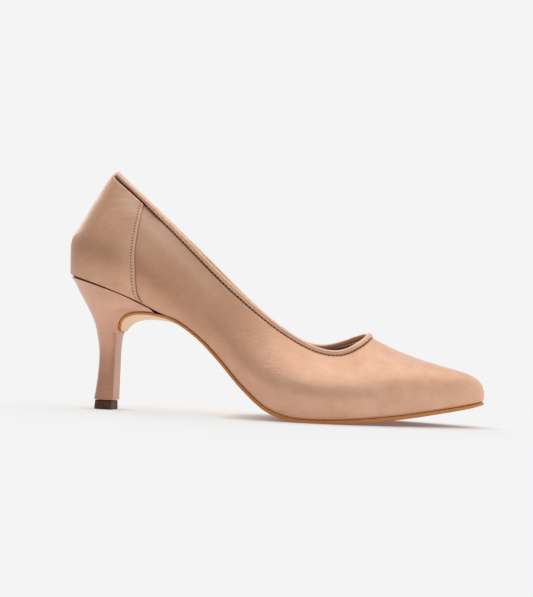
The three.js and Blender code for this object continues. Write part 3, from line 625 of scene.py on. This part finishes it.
def panel_height(point, from_edge, below):
    """Height of the panel over the upper: folded edge, sewn groove and a slight unevenness."""
    fold = np.sqrt(np.clip(1 - (1 - np.minimum(from_edge / 0.9, 1)) ** 2, 0, 1))
    crown = 0.12 * np.exp(-((from_edge - 1.1) / 0.6) ** 2)
    groove = 0.20 * np.exp(-((from_edge - COUNTER_STITCH) / 0.32) ** 2)
    height = 0.12 + (PANEL_HEIGHT - 0.12) * fold + crown - groove
    return height + 0.08 * waves(point, 30, 9) * smoothstep(from_edge, 3, 9) * smoothstep(below, 3, 9)


def panel_shade(point, from_edge, below):
    """Painted shading of the panel: painted shade at the fold and in the stitch row, painted shade in the
    middle, a painted highlight near the top.
    """
    gleam = 0.55 * np.exp(-((below - 4) / 3) ** 2) * np.exp(-((from_edge - 5) / 9) ** 2)
    # painted shade across the middle of the panel, around z = 88
    hollow = 0.5 * np.exp(-((point[..., 2] - 88) / 12) ** 2) * smoothstep(from_edge, 2, 16)
    return (0.9 * np.exp(-from_edge / 0.3) + hollow - gleam
            + 0.2 * np.exp(-np.abs(from_edge - COUNTER_STITCH) / 0.3))


def make_counter():
    """Counter panel: laps over the quarters with a folded round edge and a sewn row behind it."""
    v = np.concatenate([np.linspace(0.022, 0.93, 74), 1 - PANEL_ROWS / PANEL_WALL])
    seam = seam_station(v)
    edge = PANEL_COLUMNS / MM_PER_STATION
    rest = np.linspace(1, 0, 48)[1:]
    inner_edge = seam[None, :] - edge[-1]
    half = np.concatenate([seam[None, :] - edge[:, None], inner_edge * rest[:, None]], 0)
    from_edge = (seam[None, :] - half) * MM_PER_STATION
    u = np.concatenate([-half, half[::-1][1:]], 0)
    from_edge = np.concatenate([from_edge, from_edge[::-1][1:]], 0)
    drop = PANEL_DROP * (0.25 + 0.75 * smoothstep(np.abs(u), 0.2, 1.6))
    row = v[None, :] - drop / PANEL_WALL * smoothstep(v, 0.8, 1.0)[None, :]
    point, normal, rise = surface_frame(u, row)
    below = (1 - row) * PANEL_WALL
    height = panel_height(point, from_edge, below)
    outside = point + normal * height[..., None]
    inside = (point + normal * PANEL_UNDERSIDE)[:, ::-1]
    angles = np.linspace(0, math.pi, 7)[1:-1][None, :]
    top_height = height[:, -1:]
    lift = (top_height + PANEL_UNDERSIDE) / 2 * np.sin(angles)
    out = top_height - (top_height - PANEL_UNDERSIDE) / 2 * (1 - np.cos(angles))
    cap = point[:, -1:] + normal[:, -1:] * out[..., None] + rise[:, -1:] * lift[..., None]
    foot_out = height[:, :1] * np.array([[0.25, 0.6, 0.88]])
    foot_drop = height[:, :1] * np.array([[0.45, 0.30, 0.10]])
    foot = point[:, :1] + normal[:, :1] * foot_out[..., None] - rise[:, :1] * foot_drop[..., None]
    loops = np.concatenate([foot, outside, cap, inside], 1)
    tone = np.zeros(loops.shape[:2])
    rows = outside.shape[1]
    lead = foot.shape[1]
    tone[:, lead:lead + rows] = panel_shade(point, from_edge, below)
    return loft("counter", loops, False, [UPPER], tone=tone)


piping_half_height = profile(PIPING_HALF_HEIGHT)


def topline_frame(u):
    """Edge point, plan outward direction, upward direction square to the topline, and its own."""
    top = np.ones_like(u)
    along = unit(surface(u + 0.05, top) - surface(u - 0.05, top))
    out = unit(np.stack([along[:, 1], -along[:, 0], 0 * u], -1))
    rise = np.cross(along, out)
    return surface(u, top), out, rise * np.sign(rise[:, 2:]), along


def make_piping():
    """Rolled binding standing on the cut edge, drawn in a little at each stitch."""
    u = np.linspace(0, KEYS, 1301)[:-1]
    edge, out, rise, _ = topline_frame(u)
    tall = piping_half_height(np.minimum(u, KEYS - u))
    centre = edge - out * PIPING_INSET + rise * (tall + 0.05)[:, None]
    length = arc_length(centre)
    angles = np.linspace(0, 2 * math.pi, 24, endpoint=False)
    across, up = np.cos(angles)[None, :], np.sin(angles)[None, :]
    low = np.clip(-up, 0, 1)
    pucker = 1 - 0.05 * low * (1 + np.cos(2 * math.pi * length / STITCH_PITCH))[:, None]
    uneven = 1 + 0.018 * waves(centre, 16, 21)[:, None]
    wide = PIPING_HALF_THICK * (1 + 0.12 * low) * pucker * uneven
    high = tall[:, None] * uneven * (1 + 0.16 * low)
    loops = (centre[:, None] + out[:, None] * (across * wide)[..., None]
             + rise[:, None] * (up * high)[..., None])
    # painted shade on the lower part of the binding
    tone = np.broadcast_to(0.55 * np.clip(-up - 0.55, 0, 1) / 0.45, loops.shape[:2])
    return loft("piping", loops, True, [PIPING], tone=tone)


def make_lining(name, start, end, material, depths, bottom=0.045, hem=None):
    """Sheet inside the wall from one station to another, up to the topline or to a hem below it."""
    u = np.linspace(start, end, max(int((end - start) * 16), 24))
    if hem is None:
        v = wall_rows(u, bottom, 40)
    else:
        v = np.linspace(bottom, hem, 40)[None, :].repeat(len(u), 0)
    outside, arc, inside = shell_loops(u, v, *depths)
    return loft(name, np.concatenate([outside, arc, inside], 1), False, [material])


VAMP_SEAM = 7.5  # station where the vamp lining meets the quarter linings
SPINDLE_RINGS, SPINDLE_SIDES = 9, 8


def stitches(name, points, along, normal, length, radius, material, sink=0.35):
    """Thread shown between needle holes: one small spindle for each stitch, half sunk in the leather."""
    rings = np.linspace(0, math.pi, SPINDLE_RINGS)
    sides = np.linspace(0, 2 * math.pi, SPINDLE_SIDES, endpoint=False)
    across = np.cross(along, normal)
    vertices, faces = [], []
    for point, t, n, w in zip(points, along, normal, across):
        base = len(vertices)
        for ring in rings:
            for side in sides:
                spread = radius * math.sin(ring) ** 0.7
                offset = (-t * math.cos(ring) * length / 2 + w * math.cos(side) * spread
                          + n * (math.sin(side) * spread * 0.8 - sink * radius))
                vertices.append((point + offset + SHIFT) * MM)
        for i in range(SPINDLE_RINGS - 1):
            ring = base + i * SPINDLE_SIDES
            after = ring + SPINDLE_SIDES
            for j in range(SPINDLE_SIDES):
                k = (j + 1) % SPINDLE_SIDES
                faces.append((ring + j, ring + k, after + k, after + j))
    mesh = bpy.data.meshes.new(name)
    mesh.from_pydata([tuple(p) for p in vertices], [], faces)
    return finish_mesh(name, mesh, [material], merge=1e-7)


def topline_row():
    """Stitch places in the crease between binding and upper; the counter covers the crease at the heel."""
    u = topline_positions(STITCH_PITCH)
    u = u[np.minimum(u, KEYS - u) > float(seam_station(0.99)) + 0.05]
    edge, out, rise, along = topline_frame(u)
    return edge - out * 0.12 + rise * 0.12, along, out


def counter_row():
    """Stitch places behind both folded edges of the counter panel."""
    v = np.linspace(0.03, 0.985, 400)
    rows = []
    for side in (-1, 1):

        def station(v):
            return side * (seam_station(v) - COUNTER_STITCH / MM_PER_STATION)

        length = arc_length(surface(station(v), v))
        count = int(length[-1] / COUNTER_PITCH)
        marks = np.interp((np.arange(count) + 0.5) * length[-1] / count, length, v)
        point, normal, _ = surface_frame(station(marks), marks)
        along = unit(surface(station(marks + 0.005), marks + 0.005) - point)
        rows.append((point + normal * (PANEL_HEIGHT - 0.16), along, normal))
    return [np.concatenate(part) for part in zip(*rows)]


# -------- inside


SOCK_TOP, SOCK_THICK = 7.0, 0.8  # its top stands that far above the feather line


def bridge(lateral, medial, c):
    """Points between the two sides, at shares c of the way across."""
    return lateral[:, None] * (1 - c)[None, :, None] + medial[:, None] * c[None, :, None]


def make_insock():
    """Cover sock over the foot bed, out to the lining all round, slightly cushioned."""
    u = np.concatenate([
        np.linspace(0, 1, 14)[:-1],
        np.linspace(1, 12, 110)[:-1],
        np.linspace(12, LAST_KEY, 14),
    ])
    c = np.concatenate([[0, 0.01, 0.025], np.linspace(0.05, 0.95, 29), [0.975, 0.99, 1]])
    lateral = layer(u, np.full_like(u, 0.15), LINING[1] + 0.12)
    medial = layer(KEYS - u, np.full_like(u, 0.15), LINING[1] + 0.12)
    across = bridge(lateral, medial, c)
    heel_pad = 0.9 * smoothstep(u, 0.4, 1.4) * (1 - smoothstep(u, 2.6, 3.6))
    ball_pad = 0.7 * smoothstep(u, 6.4, 7.4) * (1 - smoothstep(u, 9, 10))
    pad = (heel_pad + ball_pad)[:, None]
    dome = (1 - (2 * c - 1) ** 2)[None, :]
    across[..., 2] = feather_height(across[..., 0]) + SOCK_TOP + pad * dome - 0.25 * dome ** 4
    rim = np.abs(2 * c - 1) ** 12
    across[..., 2] += 0.5 * rim[None, :] * smoothstep(u, 0.1, 1)[:, None]
    below = across.copy()
    below[..., 2] -= SOCK_THICK
    loops = np.concatenate([across, below[:, ::-1]], 1)
    return loft("insock_cover", loops, False, [SOCK])


def make_cushion(name, start, end, width, low=4.7, rim=4.95, high=6.0):
    """Foam pad under the sock, crowned and thin at its rim."""
    u = np.linspace(start, end, 60)
    c = np.linspace(0, 1, 30)
    lateral = inset_feather(u, 4.8, 0)
    medial = inset_feather(KEYS - u, 4.8, 0)
    s = (u - start) / (end - start)
    half = width * np.sqrt(np.clip(1 - (2 * s - 1) ** 4, 0, 1)) / 2
    span = 0.5 + (c[None, :] - 0.5) * 2 * half[:, None]
    points = lateral[:, None] * (1 - span)[..., None] + medial[:, None] * span[..., None]
    crown = np.sqrt(np.clip((1 - (2 * c[None, :] - 1) ** 2) * np.sin(math.pi * s)[:, None], 0, 1))
    top, bottom = points.copy(), points.copy()
    top[..., 2] = feather_height(points[..., 0]) + rim + (high - rim) * crown
    bottom[..., 2] = feather_height(points[..., 0]) + low
    piece = loft(name, np.concatenate([top, bottom[:, ::-1]], 1), False, [FOAM])
    return piece


# -------- outsole

SOLE_STATIONS = 9
SOLE_END = SOLE_STATIONS + len(FLAP)
sole_bulge = profile([(0, 0), (2, 0.2), (7, 0.2), (8, 0.5), (9, 1.2), (10, 1.9), (11, 2.1), (12, 2.1),
                      (13, 1.9), (14, 1.2), (15, 0.4), (SOLE_END, 0)])
sole_thickness = profile([(0, WAIST_THICK), (3, SOLE_THICK), (6, SOLE_THICK), (7.5, WAIST_THICK),
                          (SOLE_END, WAIST_THICK)])


def blend_rows(rows, knots, t, span):
    """One level of the curve's pyramid: neighbouring rows mixed over knots that lie span apart."""
    mixed = []
    for j in range(len(rows) - 1):
        start, end = knots[j], knots[j + span]
        mixed.append((end - t) / (end - start) * rows[j] + (t - start) / (end - start) * rows[j + 1])
    return mixed


def centripetal(points, count):
    """Centripetal Catmull-Rom curve through points, count samples for each span."""
    p = np.array(points, float)
    p = np.concatenate([[2 * p[0] - p[1]], p, [2 * p[-1] - p[-2]]])
    knots = np.concatenate([[0], np.cumsum(np.linalg.norm(np.diff(p, axis=0), axis=-1) ** 0.5)])
    out = []
    for i in range(1, len(p) - 2):
        t = np.linspace(knots[i], knots[i + 1], count, endpoint=False)[:, None]
        near = knots[i - 1:i + 3]
        first = blend_rows(p[i - 1:i + 3], near, t, 1)
        second = blend_rows(first, near, t, 2)
        out += blend_rows(second, near[1:], t, 1)
    return np.concatenate([*out, p[-2:-1]])


def sole_edge(side, density=14):
    """Edge of the outsole from the toe tip back along one side and down the breast flap."""
    s = np.linspace(0, SOLE_STATIONS, SOLE_STATIONS * density + 1)
    u = LAST_KEY - s if side < 0 else KEYS - (LAST_KEY - s)
    fore = inset_feather(u, -0.5, np.zeros_like(s))
    flap = [(x, lateral if side < 0 else medial, z) for x, z, lateral, medial in FLAP]
    chain = [fore[-1 - density], fore[-1], *flap]
    rear = centripetal(chain, density)
    return np.concatenate([fore, rear[density + 1:]])


def make_outsole():
    lateral, medial = sole_edge(-1), sole_edge(1)
    s = np.linspace(0, SOLE_END, len(lateral))
    centre = (lateral + medial) / 2
    run = unit(np.gradient(centre, axis=0) * (1, 0, 1))
    down = np.stack([-run[:, 2], np.zeros(len(s)), run[:, 0]], -1)
    c = np.concatenate([[0, 0.006, 0.015, 0.03], np.linspace(0.06, 0.94, 30), [0.97, 0.985, 0.994, 1]])
    bulge = sole_bulge(s)[:, None] * (1 - (2 * c[None, :] - 1) ** 2)
    thick = sole_thickness(s)
    across = bridge(lateral, medial, c)
    width = np.linalg.norm(medial - lateral, axis=-1)

    def row(depth):
        points = across + down[:, None] * (depth + bulge)[..., None]
        points[..., 2] = np.maximum(points[..., 2], 0)
        return points

    top = row(np.full((1, 1), GAP * 0.4))
    edge_round = np.minimum(c, 1 - c)[None, :] * width[:, None]
    soften = 0.35 * np.exp(-edge_round / 0.35)
    bottom = row((GAP + thick)[:, None] - soften)
    side = unit(medial - lateral + (0, 1e-9, 0))
    rail_depths = np.array([0.25, 0.5, 0.75])

    def rail(edge, direction):
        depth = GAP * 0.4 + (thick[:, None] + GAP * 0.6 - 0.35) * rail_depths[None, :]
        out = 0.22 * np.sin(math.pi * rail_depths)[None, :] * np.minimum(width / 4, 1)[:, None]
        points = edge[:, None] + down[:, None] * depth[..., None] + direction[:, None] * out[..., None]
        points[..., 2] = np.maximum(points[..., 2], 0.02)
        return points

    right = rail(medial, side)
    left = rail(lateral, -side)[:, ::-1]
    loops = np.concatenate([top, right, bottom[:, ::-1], left], 1)
    rails = len(rail_depths)
    kinds = np.zeros(loops.shape[1], int)  # 0 is the sole sheet, 1 its stained edge
    kinds[len(c) - 1:len(c) + rails + 2] = 1
    kinds[-2 * rails:] = 1
    return loft("sole", loops, False, [SOLE, SOLE_EDGE], kinds=kinds, sharp_degrees=50)


# -------- heel

heel_curves = [profile([(i, row[k]) for i, row in enumerate(HEEL)]) for k in range(7)]
HEEL_TOP = len(HEEL) - 1
TIP_DROP = 1.3  # how far the front corner laps down over the sole edge
SEAT_GAP, BACK_GAP = 0.4, 1.1  # gap under the upper, and what the back adds to it


def heel_loops(levels, inset):
    """Loops round the heel, one for each level: round back and sides, then the hollow breast."""
    values = [curve(levels)[:, None] for curve in heel_curves]
    back_x, back_z, front_x, front_z, corner_y, half_width, bulge = values
    end = math.pi - np.arcsin(corner_y / half_width)
    reach = (front_x - back_x) / (1 - np.cos(end))
    share = np.concatenate([np.linspace(0, 0.95, 40), [0.965, 0.978, 0.988, 0.995, 1]])[None, :]
    angle = end * share
    x = back_x + inset + (reach - inset) * (1 - np.cos(angle)) * (1 - inset / (2 * reach))
    straight = back_z + (front_z - back_z) * (x - back_x) / (front_x - back_x)
    blend = smoothstep(levels, HEEL_TOP - 2.5, HEEL_TOP)[:, None]
    seat_gap = SEAT_GAP + BACK_GAP * np.exp(-(x - back_x[-1, 0]) / 15)
    z = straight + (feather_height(x) - seat_gap - straight) * blend
    near_top = smoothstep(levels, HEEL_TOP - 2.6, HEEL_TOP - 1.2)[:, None]
    z = z - TIP_DROP * near_top * smoothstep(share, 0.95, 1.0)
    half = np.stack([x, -(half_width - inset) * np.sin(angle), z], -1)
    lean = smoothstep(levels, 3, 7)[:, None]
    c = np.array([0.012, 0.03, 0.06, 0.11, 0.18, 0.27, 0.38, 0.5, 0.62, 0.75, 0.88, 1])[None, :]
    push = bulge * (1 - (1 - c) ** 2)
    corner = half[:, -1:]
    breast = np.stack([
        corner[..., 0] + push * (1 - lean),
        corner[..., 1] * (1 - c),
        corner[..., 2] - push * lean,
    ], -1)
    half = np.concatenate([half, breast], 1)
    mirrored = half[:, 1:-1][:, ::-1].copy()
    mirrored[..., 1] *= -(1 - 0.1 * smoothstep(mirrored[..., 0], -85, -58))
    return np.concatenate([half, mirrored], 1)


def make_heel_cover():
    """Leather wrap of the heel, with painted shade down the stem and on its breast."""
    levels = np.concatenate([np.linspace(0, 3, 30)[:-1], np.linspace(3, HEEL_TOP, 110)])
    outer = heel_loops(levels, 0)
    inner = heel_loops(levels, COVER_THICK)
    around = np.concatenate([outer, inner[::-1]], 0).transpose(1, 0, 2)
    x, z = around[..., 0], around[..., 2]
    # painted shade: darker down the stem towards the lift, and on the front of the breast below z = 44
    stem = 0.6 * (1 - smoothstep(z, 12, 62))
    breast = 0.3 * smoothstep(x, -91, -88) * (z < 44)
    return loft("heel_wrap", around, True, [COVER], tone=np.clip(stem + breast, 0, 0.6), sharp_degrees=48)


LIFT_ARC = 116  # degrees of the round outline on each side, up to the straight front
LIFT_STEPS = [  # height, and how much larger the outline is there
    (0.0, -0.2), (0.0, 0.12), (0.12, 0.25), (0.4, 0.34), (0.7, LIFT_FLARE), (1.1, 0.32), (2.0, 0.24),
    (3.2, 0.14), (4.4, 0.04), (4.85, -0.03), (LIFT_TOP, -0.2),
]


def lift_loop(z, grow):
    half_width = LIFT_HALF_WIDTH + grow
    back, front = LIFT_BACK - grow, LIFT_FRONT + grow * 0.4
    end = math.radians(LIFT_ARC)
    reach = (front - back) / (1 - math.cos(end))
    angle = np.linspace(0, end, 40)
    x = back + reach * (1 - np.cos(angle))
    y = half_width * np.sin(angle)
    straight = np.linspace(1, -1, 12)[1:-1]
    lateral = np.stack([x, -y, np.full_like(x, z)], -1)
    face = np.stack([np.full_like(straight, x[-1]), -y[-1] * straight, np.full_like(straight, z)], -1)
    medial = lateral[::-1][:-1] * (1, -1, 1)
    return np.concatenate([lateral, face, medial])


def make_lift():
    """Top piece with a rounded lower edge; the face on the floor has its own material."""
    loops = np.array([lift_loop(z, grow) for z, grow in LIFT_STEPS])
    centre = np.broadcast_to(loops.mean(1, keepdims=True), loops.shape)
    closed = np.concatenate([centre[:1], loops, centre[-1:]])
    piece = loft("heel_top_piece", closed, False, [LIFT, LIFT_FACE], sharp_degrees=35)
    for polygon in piece.data.polygons:
        if polygon.center.z < 0.0002:
            polygon.material_index = 1
    return piece


# -------- assembly


def own(piece, slot, *nodes):
    """The piece rides on the shoe and stands for the CAD nodes, which it hides; slot is not used."""
    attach(piece, "root")
    if nodes:
        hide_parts(*nodes)
    return piece


own(make_upper(), "upper_leather", "vamp_and_quarters")
own(make_counter(), "upper_leather", "counter_panel")
own(make_piping(), "piping_leather", "topline_piping")
SEAM_GAP = 0.012  # stations left free beside a lining's seam
LININGS = (
    ("lining_vamp", VAMP_SEAM, KEYS - VAMP_SEAM, "vamp_lining"),
    ("lining_quarter_outer", 0, VAMP_SEAM, "quarter_lining_lateral"),
    ("lining_quarter_inner", KEYS - VAMP_SEAM, KEYS, "quarter_lining_medial"),
)
for name, start, end, node in LININGS:
    lining = make_lining(name, start + SEAM_GAP, end - SEAM_GAP, LINER, LINING)
    own(lining, "lining_leather", node)
own(make_lining("grip", -2, 2, GRIP_SUEDE, GRIP, bottom=0.17, hem=0.86), "grip_suede", "heel_grip")
own(make_insock(), "insock_leather", "insock")
own(make_cushion("cushion_heel", 0.5, 3.5, 0.8), "foam", "heel_cushion")
own(make_cushion("cushion_ball", 6.5, 9.5, 0.76), "foam", "ball_cushion")
own(make_outsole(), "sole_sheet", "outsole")
own(make_heel_cover(), "upper_leather", "heel_cover")
own(make_lift(), "lift_rubber", "heel_lift")


def sew(seam, row, pitch, stitch, hole_shade):
    """A row of thread, and dark marks of painted shade for the needle holes halfway between its stitches."""
    points, along, normal = row
    own(stitches(seam + "_stitching", points, along, normal, *stitch), "thread")
    own(stitches(seam + "_needle_holes", points + along * pitch / 2, along, normal, *hole_shade), "thread")


sew("topline", topline_row(), STITCH_PITCH, (1.35, 0.2, THREAD), (0.8, 0.26, HOLE_SHADE, 0.55))
sew("counter", counter_row(), COUNTER_PITCH, (1.05, 0.36, PALE_THREAD, -0.2), (0.95, 0.44, HOLE_SHADE, 0.3))

KEPT = (  # CAD nodes shown as they are
    (BOARD, ("insole_board", "shank_board", "counter_stiffener", "toe_puff")),
    (STEEL, ("steel_shank", "shank_rivet_rear", "shank_rivet_front", "heel_dowel", "lift_pin", "heel_screw",
             "heel_nail_1", "heel_nail_2", "heel_nail_3", "heel_nail_4")),
    (FOAM, ("bottom_filler",)),
    (CORE, ("heel_block",)),
)
for material, nodes in KEPT:
    for shown in [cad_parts[node] for node in nodes]:
        if not shown.material_slots:
            shown.data.materials.append(material)
        for material_slot in shown.material_slots:
            material_slot.material = material

# -------- floor, light and camera

BACKDROP = 0.905  # level of the backdrop in the picture
FLOOR_REACH = 30.0  # metres from the middle to each side


def make_floor():
    """Paper floor that glows as brightly as the backdrop, with a painted contact shadow close to the shoe."""
    mesh = bpy.data.meshes.new("floor")
    corners = [(x * FLOOR_REACH, y * FLOOR_REACH, 0) for x, y in ((-1, -1), (1, -1), (1, 1), (-1, 1))]
    mesh.from_pydata(corners, [], [(0, 1, 2, 3)])
    floor = bpy.data.objects.new("floor", mesh)
    bpy.context.scene.collection.objects.link(floor)
    s = Shader("floor_paper", Roughness=1.0, Specular_IOR_Level=0.0)
    s.surface.inputs["Base Color"].default_value = (FLOOR_ALBEDO, FLOOR_ALBEDO, FLOOR_ALBEDO, 1)
    # painted contact shadow: occlusion lowers the floor's glow towards a pinkish dark
    near = s.tree.nodes.new("ShaderNodeAmbientOcclusion")
    near.inputs["Distance"].default_value = CONTACT_REACH
    open_air = s.remap(near.outputs["AO"], 0.05, 0.95)
    s.join(s.mix(open_air, CONTACT_SHADOW_COLOUR, (1, 1, 1)), s.surface.inputs["Emission Color"])
    s.surface.inputs["Emission Strength"].default_value = FLOOR_GLOW
    mesh.materials.append(s.material)


def add_sun(name, energy, angle, azimuth, elevation):
    """Adds a sun and returns the light it gives the floor, over pi."""
    data = bpy.data.lights.new(name, "SUN")
    data.energy = energy
    data.angle = math.radians(angle)
    sun = bpy.data.objects.new(name, data)
    a, e = math.radians(azimuth), math.radians(elevation)
    towards = Vector((math.sin(a) * math.cos(e), -math.cos(a) * math.cos(e), math.sin(e)))
    sun.rotation_euler = towards.to_track_quat("Z", "Y").to_euler()
    bpy.context.scene.collection.objects.link(sun)
    return energy * math.sin(e) / math.pi


# Light from each direction: bright sweep behind, dim room in front, bright sky overhead.
ROOM_LEVEL = 0.2
SKY_LEVEL = 1.6
BRIGHT_SIDE = (0.62, 0.785)  # plan direction of the lit sweep: behind the shoe and beyond the toe
FLOOR_ALBEDO = 0.3
CONTACT_REACH = 0.022  # metres, how far up the floor looks for the shoe when it paints its contact shadow
# colour of the painted contact shadow, pinkish grey
CONTACT_SHADOW_COLOUR = (0.27, 0.17, 0.165)
KEY_ENERGY, KEY_ANGLE, KEY_AZIMUTH, KEY_ELEVATION = 0.35, 28, -140, 30


def studio_light(direction):
    """Radiance from a direction, the same formula as the world's nodes."""
    behind = smoothstep(direction[:, :2] @ BRIGHT_SIDE, -0.5, 0.3)
    above = smoothstep(direction[:, 2], 0.6, 0.95)
    level = ROOM_LEVEL + (BACKDROP - ROOM_LEVEL) * behind
    return level + (SKY_LEVEL - level) * above


def make_world():
    world = bpy.data.worlds.new("studio")
    world.use_nodes = True
    tree = world.node_tree
    place = tree.nodes.new("ShaderNodeTexCoord")
    parts = tree.nodes.new("ShaderNodeSeparateXYZ")
    tree.links.new(place.outputs["Generated"], parts.inputs["Vector"])
    sweep = tree.nodes.new("ShaderNodeVectorMath")
    sweep.operation = "DOT_PRODUCT"
    sweep.inputs[1].default_value = (*BRIGHT_SIDE, 0)
    tree.links.new(place.outputs["Generated"], sweep.inputs[0])

    def ramp(source, low, high):
        node = tree.nodes.new("ShaderNodeMapRange")
        node.interpolation_type = "SMOOTHSTEP"
        node.inputs["From Min"].default_value = low
        node.inputs["From Max"].default_value = high
        tree.links.new(source, node.inputs["Value"])
        return node.outputs["Result"]

    def blend(factor, first, second):
        node = tree.nodes.new("ShaderNodeMix")
        tree.links.new(factor, node.inputs[0])
        for socket, value in ((node.inputs[2], first), (node.inputs[3], second)):
            if isinstance(value, float):
                socket.default_value = value
            else:
                tree.links.new(value, socket)
        return node.outputs[0]

    level = blend(ramp(sweep.outputs["Value"], -0.5, 0.3), ROOM_LEVEL, BACKDROP)
    level = blend(ramp(parts.outputs["Z"], 0.6, 0.95), level, SKY_LEVEL)
    path = tree.nodes.new("ShaderNodeLightPath")
    level = blend(path.outputs["Is Camera Ray"], level, BACKDROP)
    tree.links.new(level, tree.nodes["Background"].inputs["Strength"])
    tree.nodes["Background"].inputs["Color"].default_value = (1, 1, 1, 1)
    bpy.context.scene.world = world


make_world()
key = add_sun("key", KEY_ENERGY, KEY_ANGLE, KEY_AZIMUTH, KEY_ELEVATION)
random = np.random.default_rng(3)
sky = unit(random.normal(size=(200000, 3)))
sky[:, 2] = np.abs(sky[:, 2])
ambient = float(np.mean(studio_light(sky) * sky[:, 2]) * 2)
FLOOR_GLOW = BACKDROP - FLOOR_ALBEDO * (ambient + key)
make_floor()
bpy.context.scene.view_settings.view_transform = "Standard"

CAMERA_PLACE = (109.89, -640.13, 34.07)  # before the model's shift
CAMERA_YAW, CAMERA_PITCH, CAMERA_ROLL = (math.radians(angle) for angle in (10.0, 2.864, 2.398))
LENS = 69.55


def make_camera():
    """Camera from its place, its three turns and its lens."""
    yaw_sin, yaw_cos, flat = math.sin(CAMERA_YAW), math.cos(CAMERA_YAW), math.cos(CAMERA_PITCH)
    forward = Vector((-yaw_sin * flat, yaw_cos * flat, math.sin(CAMERA_PITCH)))
    level = Vector((yaw_cos, yaw_sin, 0))
    upright = level.cross(forward)
    right = math.cos(CAMERA_ROLL) * level + math.sin(CAMERA_ROLL) * upright
    up = right.cross(forward)
    data = bpy.data.cameras.new("camera")
    data.lens = LENS
    data.sensor_width = 36
    data.clip_start = 0.01
    camera = bpy.data.objects.new("camera", data)
    place = (np.array(CAMERA_PLACE) + SHIFT) * MM
    turned = Matrix((right, up, -forward)).transposed().to_4x4()
    camera.matrix_world = Matrix.Translation(Vector(place)) @ turned
    bpy.context.scene.collection.objects.link(camera)
    bpy.context.scene.camera = camera


make_camera()
